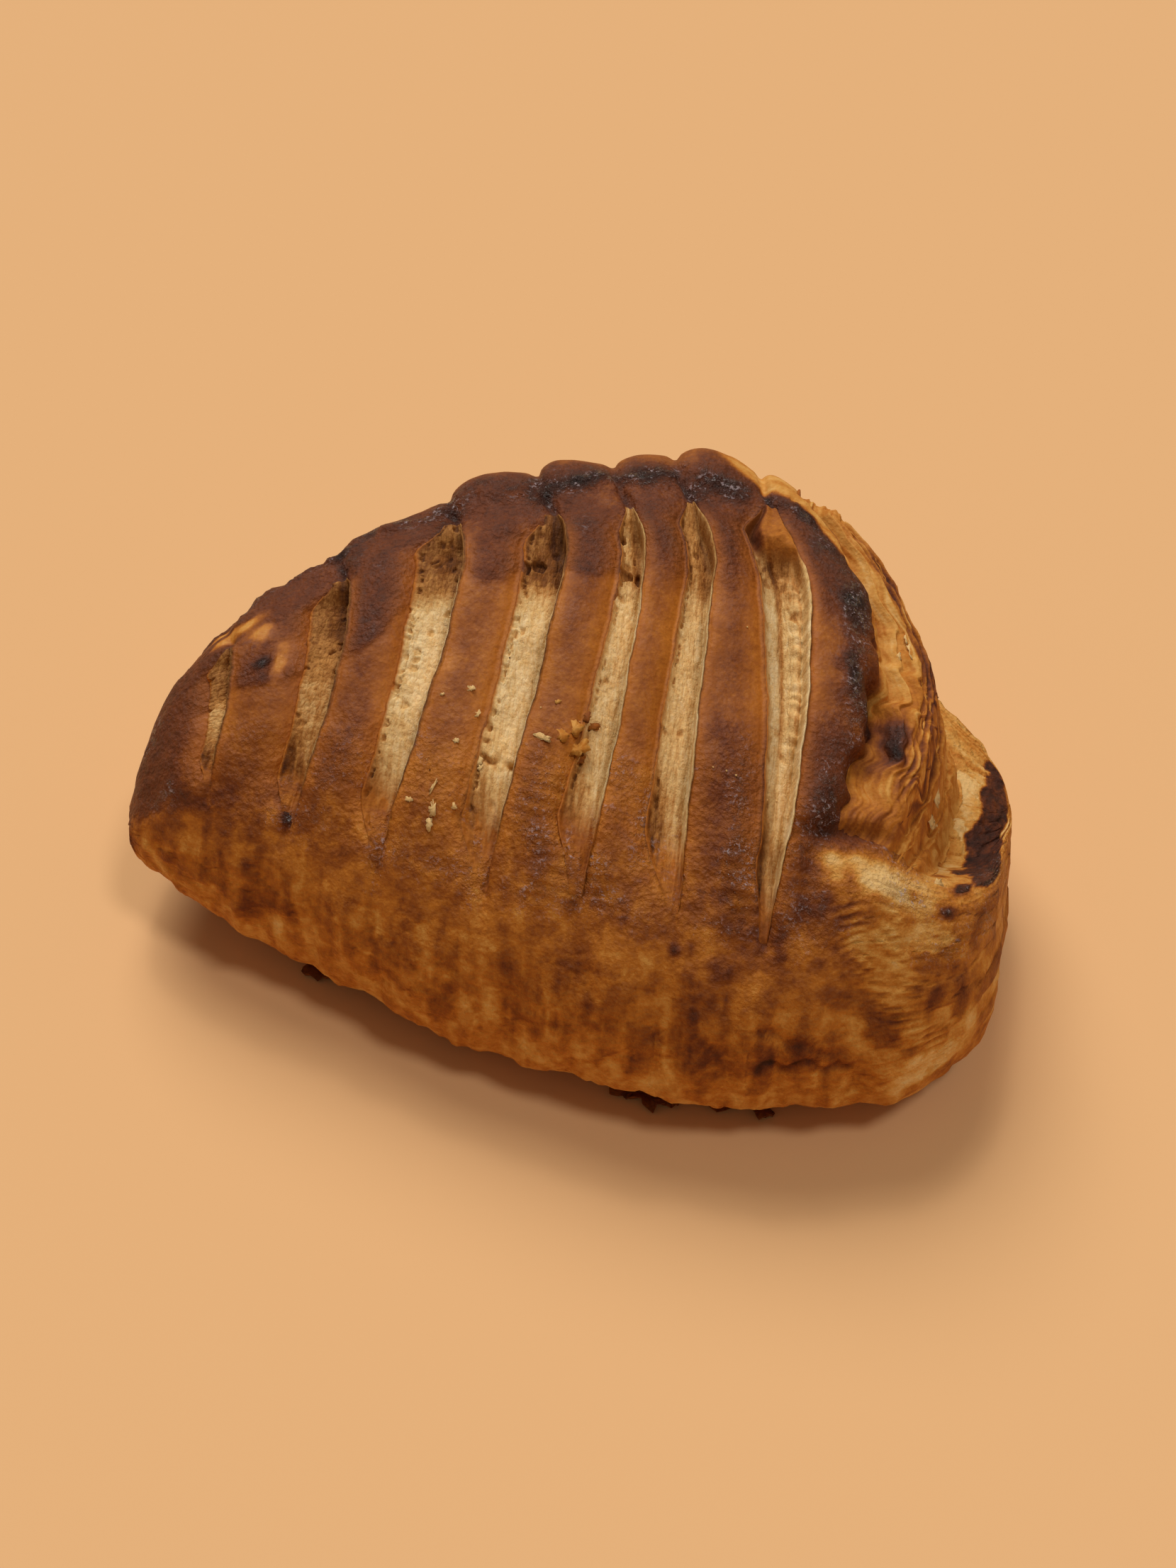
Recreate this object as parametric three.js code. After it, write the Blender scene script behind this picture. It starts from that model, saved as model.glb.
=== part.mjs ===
// Apple turnover: a parcel of puff pastry about 14 cm long, folded along its near side and pressed
// shut along the other two. Seven cuts across the top have opened in the oven, so that glazed bands
// stand over pale slits. At the right end the upper sheet's layered edge stands above the lower
// sheet's rim, which shows as a lobe.
//
// Millimetres, +Z up. The shape is a loft of nine sections, worked out in the frame of the cuts
// (x across the cuts, y along them, z up), and is then turned so that the fold lies along +X.

import * as THREE from "three";

// ---- Driving sizes, in the frame of the cuts ----

// From the left tip to the right end. near and far are the outline's points seen from above, middle
// is the x halfway across, crest the greatest height, crestAt its share of the way across, nearRim
// and farRim the heights where the sides are widest, flange the width of the pressed edge, gutter
// the height of the dip inside it, and lift the underside's height above the table.
const SECTIONS = [
  { near: [-70, -1], far: [-70, -1], middle: -70, crest: 21, crestAt: 0.5,
    nearRim: 18, farRim: 18, flange: 0, gutter: 19, lift: 13 },
  { near: [-68, -8.5], far: [-66, 12], middle: -66, crest: 31.5, crestAt: 0.58,
    nearRim: 18, farRim: 16, flange: 4, gutter: 21, lift: 10.5 },
  { near: [-57, -16.5], far: [-52, 30], middle: -53, crest: 44, crestAt: 0.62,
    nearRim: 17, farRim: 15, flange: 8, gutter: 24, lift: 4 },
  { near: [-39, -27], far: [-30, 47.5], middle: -32, crest: 51.5, crestAt: 0.66,
    nearRim: 15, farRim: 14, flange: 10, gutter: 25, lift: 0 },
  { near: [-14, -41], far: [-3, 58.5], middle: -7, crest: 57, crestAt: 0.68,
    nearRim: 14, farRim: 14, flange: 10, gutter: 25, lift: 0 },
  { near: [12, -50], far: [24, 60.5], middle: 19, crest: 58, crestAt: 0.68,
    nearRim: 14, farRim: 14, flange: 10, gutter: 25, lift: 0 },
  { near: [36, -52.5], far: [44, 50], middle: 42, crest: 55, crestAt: 0.66,
    nearRim: 14, farRim: 14, flange: 10, gutter: 25, lift: 0 },
  { near: [60, -42], far: [61, 25], middle: 61, crest: 41, crestAt: 0.6,
    nearRim: 14, farRim: 14, flange: 8, gutter: 22, lift: 0.6 },
  { near: [70.2, -1], far: [70.2, -1], middle: 70.2, crest: 24, crestAt: 0.5,
    nearRim: 13, farRim: 13, flange: 0, gutter: 15, lift: 4 },
];
const LAST = SECTIONS.length - 1;

// The seven cuts, left to right. from and to are shares of the way across, edge the x of the right
// lip at 15, 40 and 60 % of it, wide the width near the fold and far from it, step the share of the
// depth that is at the left lip, drift how far the crease above has moved where it meets the crest.
const CUTS = [
  { from: 0.13, to: 0.6, edge: [-51.8, -51.2, -52.3],
    wide: [3.2, 4.6], deep: 2.0, step: 0.3, drift: -1.9 },
  { from: 0.09, to: 0.66, edge: [-36.0, -33.6, -34.6],
    wide: [5.6, 6.8], deep: 3.0, step: 0.3, drift: -2.8 },
  { from: 0.08, to: 0.72, edge: [-21.2, -18.0, -16.8],
    wide: [5.8, 7.8], deep: 3.3, step: 0.3, drift: -4.6 },
  { from: 0.08, to: 0.7, edge: [-5.6, -2.6, -1.0],
    wide: [6.4, 6.8], deep: 3.3, step: 0.3, drift: -7.2 },
  { from: 0.1, to: 0.7, edge: [7.9, 10.3, 10.8],
    wide: [6.0, 3.8], deep: 3.0, step: 0.5, drift: -6.6 },
  { from: 0.1, to: 0.73, edge: [20.8, 20.9, 21.4],
    wide: [5.8, 4.2], deep: 3.2, step: 0.5, drift: -7.6 },
  { from: 0.09, to: 0.75, edge: [33.9, 35.9, 35.4],
    wide: [3.6, 7.2], deep: 4.5, step: 0.6, drift: -6.5 },
];
const EDGE_SHARES = [0.15, 0.4, 0.6];
const BUMPS = [1.2, 1.0, 1.2, 1.2, 1.8, 0.8, 2.0, 0.8]; // how far each band swells at the crest
const CREST_LINE = 0.83; // share of the way across where the bands turn over the crest
const EDGE_RISE = 1.3; // a band's left lip above the plain surface
const LIP_FALL = 0.12; // a band's right lip below it, as a share of the cut's depth
const FLOOR_START = 0.15; // where a cut's floor lies between its lips
const FLOOR_END = 0.88;
const CROWN = 0.7; // a band's middle above its edges
const CREASE_END = 1.0; // depth of the crease at a cut's upper end
const CREASE_CREST = 0.8; // its depth over the crest
const CREASE_FOLD = 0.6; // its depth at the cut's lower end
const CREASE_WIDTH = 0.9;
const TUCK = 20; // how far the sides draw in under the widest line
const LOBE = { high: 26.5, low: 21.5, start: 56, long: 14.2 }; // the lower sheet's rim, right end

// The upper sheet's edge at the right end falls to the lobe in layers: where each step starts past
// the edge, its width and its share of the fall.
const LAYERS = [
  { start: 0, wide: 1.0, fall: 0.3 },
  { start: 1.8, wide: 1.0, fall: 0.35 },
  { start: 3.6, wide: 1.6, fall: 0.35 },
];

// Right of the last band: a valley with a hole in it, then the ridge of the upper sheet's edge. Below
// the band: a crease, and a swollen fold under it. Places are x in mm or shares of the way across.
const VALLEY = { deep: 1.6, past: 2.6, wide: 2.2 };
const RIDGE = { high: 1.0, inside: 2.2, wide: 2.0 };
const HOLE = { x: 46.2, wide: 1.7, share: 0.47, long: 0.03, deep: 3.5 };
const CREASE = { x: [33, 37, 46, 50], share: 0.225, slant: 0.002, wide: 0.014, deep: 1.6 };
const SWOLLEN_FOLD = { x: 44, long: 6, share: 0.165, wide: 0.04, high: 1.5 };
const FOLD_TURN = THREE.MathUtils.degToRad(20.5); // from the frame of the cuts to the fold

// Powers of the two quarter curves over the top: fold to crest, and crest to the pressed edge.
const NEAR_CURVE = [1.5, 2.3];
const FAR_CURVE = [4.5, 2.8];

// Facets: stations between neighbouring lips, and steps in each of the six arcs round a section.
const TIP_STATIONS = [0.05, 0.12, 0.22, 0.35, 0.5, 0.65, 0.8, 0.92];
const CUT_STATIONS = [0, 0.15, 0.5, 0.88];
const BAND_STATIONS = [0, 0.18, 0.45, 0.75];
const VALLEY_STATIONS = [0, 0.15, 0.35, 0.6, 0.85];
const END_STATIONS = [0, 0.06, 0.13, 0.2, 0.27, 0.36, 0.5, 0.65, 0.8, 0.92];
const ARC_STEPS = [26, 15, 5, 5, 6, 6];

// ---- Small curves ----

const clamp = THREE.MathUtils.clamp;
const bell = (x, width) => Math.exp(-((x / width) ** 2));

// 0 before start, 1 past end, smooth between; it also runs backwards.
function ramp(start, end, x) {
  const share = clamp((x - start) / (end - start), 0, 1);
  return share * share * (3 - 2 * share);
}

// A closed Catmull-Rom curve through values, at the place t.
function loop(values, t) {
  const n = values.length;
  const first = Math.floor(t);
  const f = t - first;
  const [a, b, c, d] = [-1, 0, 1, 2].map((k) => values[(((first + k) % n) + n) % n]);
  return 0.5 * (2 * b + (c - a) * f + (2 * a - 5 * b + 4 * c - d) * f ** 2
    + (3 * b - a - 3 * c + d) * f ** 3);
}

// Sections run 0..LAST along the near side and back along the far side, as one closed loop.
const thereAndBack = (list) => [...list, ...list.slice(1, LAST).reverse()];
const FAR_SIDE = SECTIONS.slice(1, LAST).reverse();
const OUTLINE_X = [...SECTIONS.map((s) => s.near[0]), ...FAR_SIDE.map((s) => s.far[0])];
const OUTLINE_Y = [...SECTIONS.map((s) => s.near[1]), ...FAR_SIDE.map((s) => s.far[1])];
const COLUMNS = Object.fromEntries(
  ["middle", "crest", "crestAt", "nearRim", "farRim", "flange", "gutter", "lift"]
    .map((name) => [name, thereAndBack(SECTIONS.map((s) => s[name]))]),
);
const along = (name, t) => loop(COLUMNS[name], t);

// The place t whose middle has this x.
function placeOf(x) {
  let low = 0;
  let high = LAST;
  for (let k = 0; k < 30; k++) {
    const half = (low + high) / 2;
    if (along("middle", half) < x) low = half;
    else high = half;
  }
  return (low + high) / 2;
}

// ---- The plain parcel ----

function outline(t) {
  return new THREE.Vector2(loop(OUTLINE_X, t), loop(OUTLINE_Y, t));
}

// Where the section at t lies seen from above, at this share of the way from near to far.
function acrossAt(t, share) {
  const near = outline(t);
  const far = outline(-t);
  const mid = near.clone().add(far).multiplyScalar(0.5).setX(along("middle", t));
  return near.multiplyScalar((1 - share) * (1 - 2 * share))
    .addScaledVector(mid, 4 * share * (1 - share))
    .addScaledVector(far, share * (2 * share - 1));
}

// Share across and height, going round a section: 0..1 near rim to crest, 1..2 crest to gutter,
// 2..3 pressed edge, 3..4 under the far side, 4..5 flat underside, 5..6 up to the near rim.
function profile(t, round) {
  const wide = Math.max(outline(t).distanceTo(outline(-t)), 1e-6);
  const [crest, crestAt, nearRim, farRim, gutter] =
    ["crest", "crestAt", "nearRim", "farRim", "gutter"].map((name) => along(name, t));
  const lift = Math.max(along("lift", t), 0);
  const gutterAt = 1 - Math.min(along("flange", t) / wide, 0.2);
  const tuck = Math.min(TUCK / wide, 0.45);
  const arc = Math.min(Math.floor(round), 5);
  const f = round - arc;
  const c = Math.abs(Math.cos((f * Math.PI) / 2));
  const w = Math.abs(Math.sin((f * Math.PI) / 2));
  switch (arc) {
    case 0:
      return [crestAt * (1 - c ** (2 / NEAR_CURVE[0])),
        nearRim + (crest - nearRim) * w ** (2 / NEAR_CURVE[1])];
    case 1:
      return [crestAt + (gutterAt - crestAt) * w ** (2 / FAR_CURVE[0]),
        gutter + (crest - gutter) * c ** (2 / FAR_CURVE[1])];
    case 2:
      return [gutterAt + (1 - gutterAt) * w,
        gutter + (farRim - gutter) * (1 - c) + 1.5 * Math.sin(Math.PI * f)];
    case 3:
      return [1 - tuck * (1 - c), farRim - (farRim - lift) * w];
    case 4:
      return [1 - tuck - (1 - 2 * tuck) * f, lift];
    default:
      return [tuck * (1 - w), lift + (nearRim - lift) * (1 - c)];
  }
}

function plainPoint(t, round) {
  const [share, height] = profile(t, round);
  const place = acrossAt(t, share);
  return new THREE.Vector3(place.x, place.y, height);
}

// The outward direction of the plain surface, from small steps along it and round it.
function outward(t, round) {
  const step = 1e-3;
  const place = clamp(t, 0.02, LAST - 0.02);
  const turn = clamp(round, step, 6 - step);
  const onward = plainPoint(place + step, turn).sub(plainPoint(place - step, turn));
  const upward = plainPoint(place, turn + step).sub(plainPoint(place, turn - step));
  return onward.cross(upward).normalize();
}

// ---- Cuts, bands and the right end ----

// Left lip, right lip and openness of every cut at this share of the way across.
function lips(share) {
  const held = clamp(share, 0.08, 0.66);
  const [a, b, c] = EDGE_SHARES;
  return CUTS.map((cut) => {
    const bowed = (cut.edge[0] * (held - b) * (held - c)) / ((a - b) * (a - c))
      + (cut.edge[1] * (held - a) * (held - c)) / ((b - a) * (b - c))
      + (cut.edge[2] * (held - a) * (held - b)) / ((c - a) * (c - b));
    const right = bowed + cut.drift * ramp(0.58, 0.84, share);
    const open = ramp(cut.from, cut.from + 0.1, share) * ramp(cut.to, cut.to - 0.07, share);
    const wide = THREE.MathUtils.lerp(cut.wide[0], cut.wide[1], clamp((held - 0.2) / 0.35, 0, 1));
    return { left: right - wide * (0.3 + 0.7 * open), right, open };
  });
}

// The last band's right edge bows out to the right of the last cut.
function lastBandEdge(share) {
  const held = clamp(share, 0.2, 0.8);
  const bow = held < 0.58 ? 7.2 * ((0.58 - held) / 0.36) ** 2 : 8.6 * ((held - 0.58) / 0.19) ** 2;
  return 46.3 - bow;
}

// The upper sheet's layered edge, right of the last band.
function sheetEdge(share) {
  const held = clamp(share, 0.1, 0.88);
  const bow = held < 0.57 ? 4.2 * ((0.57 - held) / 0.22) ** 1.3 : 14 * ((held - 0.57) / 0.24) ** 2;
  return 55.6 - bow;
}

function lobeTop(x) {
  const out = clamp((x - LOBE.start) / LOBE.long, 0, 1);
  return LOBE.low + (LOBE.high - LOBE.low) * (1 - out ** 2);
}

// How far the surface has dropped from the upper sheet to the lobe.
function dropShare(x, share, round) {
  if (round > 2.6) return 0;
  const past = x - sheetEdge(share);
  const steps = LAYERS.reduce(
    (sum, { start, wide, fall }) => sum + fall * ramp(start, start + wide, past), 0,
  );
  return steps * ramp(0.14, 0.38, share);
}

// Bands stand proud at their left lip and slope down into the cut on their right.
function bandRelief(x, share, cuts) {
  const lastEdge = lastBandEdge(share);
  for (let i = 0; i <= CUTS.length; i++) {
    const start = i ? cuts[i - 1].right : SECTIONS[0].middle;
    const end = i < CUTS.length ? cuts[i].left : lastEdge;
    const before = i ? cuts[i - 1].open : 0;
    const after = i < CUTS.length ? cuts[i].open : 0;
    const deep = i < CUTS.length ? CUTS[i].deep : 0;
    const p = (x - start) / Math.max(end - start, 0.5);
    if (p >= 0 && p <= 1) {
      return EDGE_RISE * before * (1 - p) ** 2 - LIP_FALL * deep * after * p ** 2
        + CROWN * Math.sin(Math.PI * p) * (0.4 + 0.6 * Math.max(before, after));
    }
  }
  return 0;
}

// A cut drops at its left lip, its floor falls to the right, and a steep wall rises to the next
// band's lip. Past the cut's ends a crease runs on, over the crest and a little way to the fold.
function cutRelief(x, share, cuts) {
  let depth = 0;
  let crease = 0;
  cuts.forEach(({ left, right, open }, i) => {
    const { deep, step, from, to } = CUTS[i];
    const q = (x - left) / Math.max(right - left, 0.5);
    if (q > 0 && q < 1) {
      const leftWall = LIP_FALL + (step - LIP_FALL) * ramp(0, FLOOR_START, q);
      const slope = (1 - step) * clamp((q - FLOOR_START) / (FLOOR_END - FLOOR_START), 0, 1);
      const rightWall = (1 + EDGE_RISE / deep) * ramp(FLOOR_END, 1, q);
      depth = (rightWall - leftWall - slope) * deep * open;
    }
    const strength = CREASE_END * bell(share - (to + 0.01), 0.03)
      + CREASE_CREST * ramp(to, to + 0.04, share) * ramp(0.93, 0.86, share)
      + CREASE_FOLD * bell(share - (from + 0.01), 0.035);
    crease += strength * bell(x - (right - 0.5), CREASE_WIDTH) * (1 - open);
  });
  return { depth, crease };
}

// Each band swells where it turns over the crest, more on its left.
function crestBumps(x, share, cuts) {
  const edges = [-64, ...cuts.map((cut) => cut.right), lastBandEdge(share)];
  return BUMPS.reduce((sum, high, i) => {
    const p = clamp((x - edges[i]) / Math.max(edges[i + 1] - edges[i], 0.5), 0, 1);
    return sum + high * Math.sin(Math.PI * p ** 0.6) ** 1.2 * bell(share - CREST_LINE, 0.05);
  }, 0);
}

function endRelief(x, share) {
  const band = lastBandEdge(share);
  const edge = sheetEdge(share);
  const reach = ramp(0.22, 0.34, share) * ramp(0.88, 0.78, share);
  const floor = ramp(band - 0.6, band + 0.9, x) * ramp(edge + 1, edge - 2, x);
  const valley = VALLEY.deep * (floor + bell(x - (band + VALLEY.past), VALLEY.wide));
  const ridge = RIDGE.high * bell(x - (edge - RIDGE.inside), RIDGE.wide);
  const hole = HOLE.deep * bell(x - HOLE.x, HOLE.wide) * bell(share - HOLE.share, HOLE.long);
  const creaseShare = CREASE.share + CREASE.slant * (x - CREASE.x[1]);
  const crease = CREASE.deep * bell(share - creaseShare, CREASE.wide)
    * ramp(CREASE.x[0], CREASE.x[1], x) * ramp(CREASE.x[3], CREASE.x[2], x);
  const fold = SWOLLEN_FOLD.high * bell(share - SWOLLEN_FOLD.share, SWOLLEN_FOLD.wide)
    * bell(x - SWOLLEN_FOLD.x, SWOLLEN_FOLD.long);
  return (ridge - valley) * reach - hole - crease + fold;
}

function relief(x, share, round) {
  const onTop = ramp(0.1, 0.3, round) * ramp(2, 1.7, round);
  if (onTop === 0) return 0;
  const cuts = lips(share);
  const { depth, crease } = cutRelief(x, share, cuts);
  const band = depth === 0 ? bandRelief(x, share, cuts) : depth;
  return (band - crease + crestBumps(x, share, cuts) + endRelief(x, share)) * onTop;
}

// Broad, uneven swelling of the baked sheet.
function swell({ x, y, z }) {
  return 0.5 * Math.sin(0.17 * x + 0.08 * y + 0.7) * Math.sin(0.15 * y - 0.11 * z + 1.1)
    + 0.3 * Math.sin(0.21 * x - 0.12 * y + 0.1 * z) * Math.sin(0.2 * y + 0.17 * z + 0.4);
}

function surfacePoint(t, round) {
  const [share] = profile(t, round);
  const point = plainPoint(t, round);
  const x = along("middle", t);
  point.z -= dropShare(x, share, round) * Math.max(point.z - lobeTop(x), 0);
  const offFlat = 1 - ramp(3.5, 3.9, round) * ramp(5.5, 5.1, round);
  const offTips = ramp(0, 0.5, t) * ramp(LAST, LAST - 0.4, t);
  const raise = (relief(x, share, round) + swell(point) * offFlat) * offTips;
  return point.addScaledVector(outward(t, round), raise);
}

// ---- Facets ----

// Every station is a pair: the stretch between two lips that it lies in, and its share of it.
function stationList() {
  const list = TIP_STATIONS.map((f) => [0, f]);
  CUTS.forEach((_, i) => {
    list.push(...CUT_STATIONS.map((f) => [2 * i + 1, f]));
    list.push(...BAND_STATIONS.map((f) => [2 * i + 2, f]));
  });
  const valley = 2 * CUTS.length + 1;
  list.push(...VALLEY_STATIONS.map((f) => [valley, f]), ...END_STATIONS.map((f) => [valley + 1, f]));
  return list;
}

// The place t of a station at one point round the section, so that stations follow the lips.
function stationPlace([stretch, f], round, guess) {
  let t = guess;
  for (let k = 0; k < 4; k++) {
    const [share] = profile(t, round);
    const marks = lips(share).flatMap(({ left, right }) => [left, right]);
    marks.push(lastBandEdge(share), sheetEdge(share));
    const start = stretch > 0 ? placeOf(marks[stretch - 1]) : 0;
    const end = stretch < marks.length ? placeOf(marks[stretch]) : LAST;
    t = THREE.MathUtils.lerp(start, end, f);
  }
  return t;
}

function turnoverGeometry() {
  const rounds = ARC_STEPS.flatMap((n, arc) => Array.from({ length: n }, (_, k) => arc + k / n));
  const stations = stationList();
  const rings = stations.map((station, i) => rounds.map((round) => {
    const guess = (LAST * (i + 1)) / (stations.length + 1);
    return surfacePoint(stationPlace(station, round, guess), round);
  }));
  const [tip, end] = [SECTIONS[0], SECTIONS[LAST]].map(
    ({ near, crest, lift }) => new THREE.Vector3(near[0], near[1], (crest + lift) / 2),
  );
  const n = rounds.length;
  const at = (ring, k) => 1 + ring * n + (k % n);
  const endIndex = 1 + rings.length * n;
  const faces = [];
  for (let k = 0; k < n; k++) {
    faces.push(0, at(0, k), at(0, k + 1));
    for (let ring = 0; ring + 1 < rings.length; ring++) {
      const [a, b, c, d] = [at(ring, k), at(ring + 1, k), at(ring + 1, k + 1), at(ring, k + 1)];
      faces.push(a, b, c, a, c, d);
    }
    faces.push(endIndex, at(rings.length - 1, k + 1), at(rings.length - 1, k));
  }
  const geometry = new THREE.BufferGeometry().setFromPoints([tip, ...rings.flat(), end]);
  geometry.setIndex(faces);
  geometry.computeVertexNormals();
  return geometry;
}

// ---- The model ----

const crust = new THREE.MeshStandardMaterial({ color: 0xa8642b, roughness: 0.5, metalness: 0 });
const turnover = new THREE.Mesh(turnoverGeometry(), crust);
turnover.name = "turnover";
turnover.rotation.z = FOLD_TURN;

// The origin is under the middle of the turned parcel, on the table.
const model = new THREE.Group();
model.add(turnover);
const box = new THREE.Box3().setFromObject(turnover, true);
const centre = box.getCenter(new THREE.Vector3());
turnover.position.set(-centre.x, -centre.y, -box.min.z);

export default model;
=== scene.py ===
"""Apple turnover: a folded parcel of puff pastry, baked brown, with seven open cuts across its top.

The crust is one skin over the same nine sections as the solid, with finer relief: dough fibres and
pits in the cuts, leaves of pastry at the right end and along the pressed edge, blisters and browning.
Around it lie loose flakes and crumbs. Lengths are in millimetres until a mesh is made, in the frame
of the cuts: x across the cuts, y along them, z up.
"""

import math

import bpy
import numpy as np
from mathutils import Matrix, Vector


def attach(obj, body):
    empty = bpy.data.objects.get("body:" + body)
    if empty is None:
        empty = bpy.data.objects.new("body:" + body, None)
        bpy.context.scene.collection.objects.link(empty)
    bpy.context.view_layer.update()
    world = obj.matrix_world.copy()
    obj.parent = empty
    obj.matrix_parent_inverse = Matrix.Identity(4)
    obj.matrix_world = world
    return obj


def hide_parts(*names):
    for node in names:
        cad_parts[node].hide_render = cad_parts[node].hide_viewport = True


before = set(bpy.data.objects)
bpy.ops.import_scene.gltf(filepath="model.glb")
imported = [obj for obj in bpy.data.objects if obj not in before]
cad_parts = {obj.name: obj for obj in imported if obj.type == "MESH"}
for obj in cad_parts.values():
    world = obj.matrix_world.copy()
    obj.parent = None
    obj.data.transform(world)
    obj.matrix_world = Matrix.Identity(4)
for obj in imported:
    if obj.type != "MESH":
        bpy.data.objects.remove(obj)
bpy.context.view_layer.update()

METRES = 0.001
NODE = "turnover"

# ---- Driving sizes, as in the solid ----

# From the left tip to the right end: near and far outline points, middle x, crest height and its
# share of the way across, heights of the widest lines, width of the pressed edge, height of the dip
# inside it, and the underside's lift above the table.
CURVES = ("middle", "crest", "crest_at", "near_rim", "far_rim", "flange", "gutter", "lift")
SECTION_SIZES = ("near", "far", *CURVES)
SECTIONS = [dict(zip(SECTION_SIZES, row)) for row in (
    ((-70, -1), (-70, -1), -70, 21, 0.50, 18, 18, 0, 19, 13),
    ((-68, -8.5), (-66, 12), -66, 31.5, 0.58, 18, 16, 4, 21, 10.5),
    ((-57, -16.5), (-52, 30), -53, 44, 0.62, 17, 15, 8, 24, 4),
    ((-39, -27), (-30, 47.5), -32, 51.5, 0.66, 15, 14, 10, 25, 0),
    ((-14, -41), (-3, 58.5), -7, 57, 0.68, 14, 14, 10, 25, 0),
    ((12, -50), (24, 60.5), 19, 58, 0.68, 14, 14, 10, 25, 0),
    ((36, -52.5), (44, 50), 42, 55, 0.66, 14, 14, 10, 25, 0),
    ((60, -42), (61, 25), 61, 41, 0.60, 14, 14, 8, 22, 0.6),
    ((70.2, -1), (70.2, -1), 70.2, 24, 0.50, 13, 13, 0, 15, 4),
)]
LAST = len(SECTIONS) - 1
TIP_ROOM = 0.02  # the rings stop this short of the two tips
FULL_TURN = 5.9999  # just short of six arcs, a whole way round a section
SMALL_STEP = 1e-3
TINY = 1e-9

# The cuts, left to right: start and end as shares of the way across, x of the right lip at three
# shares, width near the fold and far from it, depth, the left lip's share of the depth, and how far
# the crease above has moved where it meets the crest.
CUT_SIZES = ("start", "end", "edge", "wide", "deep", "step", "drift")
CUTS = [dict(zip(CUT_SIZES, row)) for row in (
    (0.13, 0.60, (-51.8, -51.2, -52.3), (3.2, 4.6), 2.0, 0.3, -1.9),
    (0.09, 0.66, (-36.0, -33.6, -34.6), (5.6, 6.8), 3.0, 0.3, -2.8),
    (0.08, 0.72, (-21.2, -18.0, -16.8), (5.8, 7.8), 3.3, 0.3, -4.6),
    (0.08, 0.70, (-5.6, -2.6, -1.0), (6.4, 6.8), 3.3, 0.3, -7.2),
    (0.10, 0.70, (7.9, 10.3, 10.8), (6.0, 3.8), 3.0, 0.5, -6.6),
    (0.10, 0.73, (20.8, 20.9, 21.4), (5.8, 4.2), 3.2, 0.5, -7.6),
    (0.09, 0.75, (33.9, 35.9, 35.4), (3.6, 7.2), 4.5, 0.6, -6.5),
)]
EDGE_SHARES = (0.15, 0.40, 0.60)
BUMPS = (1.2, 1.0, 1.2, 1.2, 1.8, 0.8, 1.6, 0.8)  # how high each band's bump on the crest stands
CREST_LINE = 0.83
FIRST_BUMP = -64.0  # x where the first bump starts
EDGE_RISE = 1.3  # how far a band's left rim stands up beside an open cut
LIP_FALL = 0.12  # how far its right rim sinks, as a share of the cut's depth
FLOOR_START, FLOOR_END = 0.15, 0.88  # the floor's place across a cut
CROWN = 0.7  # how far a band's middle stands up
DOUGH_DEPTH = 1.3  # room kept under the crumb of a cut
TORN_DEPTH = 1.1  # and under the torn leaves at the right end
TUCK = 20  # how far the flat underside lies in from the widest line
LOBE = dict(high=26.5, low=21.5, start=56, long=14.2)
LAYERS = ((0, 1.0, 0.30), (1.8, 1.0, 0.35), (3.6, 1.6, 0.35))  # start, width, share of the fall
VALLEY = dict(deep=1.6, past=2.6, wide=2.2)
RIDGE = dict(high=1.0, inside=2.2, wide=2.0)
HOLE = dict(x=46.2, wide=1.7, share=0.47, long=0.03, deep=3.5)
CREASE = dict(x=(33, 37, 46, 50), share=0.225, slant=0.002, wide=0.014, deep=1.6)
SWOLLEN_FOLD = dict(x=44, long=6, share=0.165, wide=0.04, high=1.5)
FOLD_TURN = math.radians(20.5)
NEAR_CURVE = (1.5, 2.3)  # how square the near side is, across and in height
FAR_CURVE = (4.5, 2.8)

# ---- Small curves and smooth random fields ----


def bell(x, width):
    return np.exp(-((x / width) ** 2))


def ramp(start, end, x):
    """0 before start, 1 past end, smooth between; it also runs backwards."""
    share = np.clip((x - start) / (end - start), 0, 1)
    return share * share * (3 - 2 * share)


def mix(a, b, share):
    return a + (b - a) * share


def spot(x, share, x0, share0, wide, long):
    """Nearness to the middle of a patch on the crust, from 0 to 1."""
    return bell(x - x0, wide) * bell(share - share0, long)


def sheet(x, run):
    """Places on the crust laid out flat, for the random fields."""
    return np.stack([x, run, 0 * x], axis=-1)


def unit(vectors):
    return vectors / np.maximum(np.linalg.norm(vectors, axis=-1, keepdims=True), TINY)


def field(points, size, seed):
    """A smooth random field from -1 to 1, with features about size across."""
    cells = 32
    rng = np.random.default_rng(seed)
    table = rng.uniform(-1, 1, (cells, cells, cells))
    place = points / np.asarray(size, float) + rng.uniform(0, cells, 3)
    low = np.floor(place).astype(int)
    share = place - low
    share = share * share * (3 - 2 * share)
    total = np.zeros(points.shape[:-1])
    for corner in np.ndindex(2, 2, 2):
        weight = np.prod(np.where(corner, share, 1 - share), axis=-1)
        i, j, k = np.moveaxis((low + corner) % cells, -1, 0)
        total += weight * table[i, j, k]
    return total


def rough_field(points, size, seed, octaves=3):
    total = 0
    for k in range(octaves):
        total = total + field(points, np.asarray(size, float) / 2**k, seed + k) / 2**k
    return total


def ridges(points, size, seed):
    """Sharp crests where the field crosses zero, from 0 to 1."""
    return 1 - np.minimum(np.abs(field(points, size, seed)) * 2.2, 1)


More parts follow.
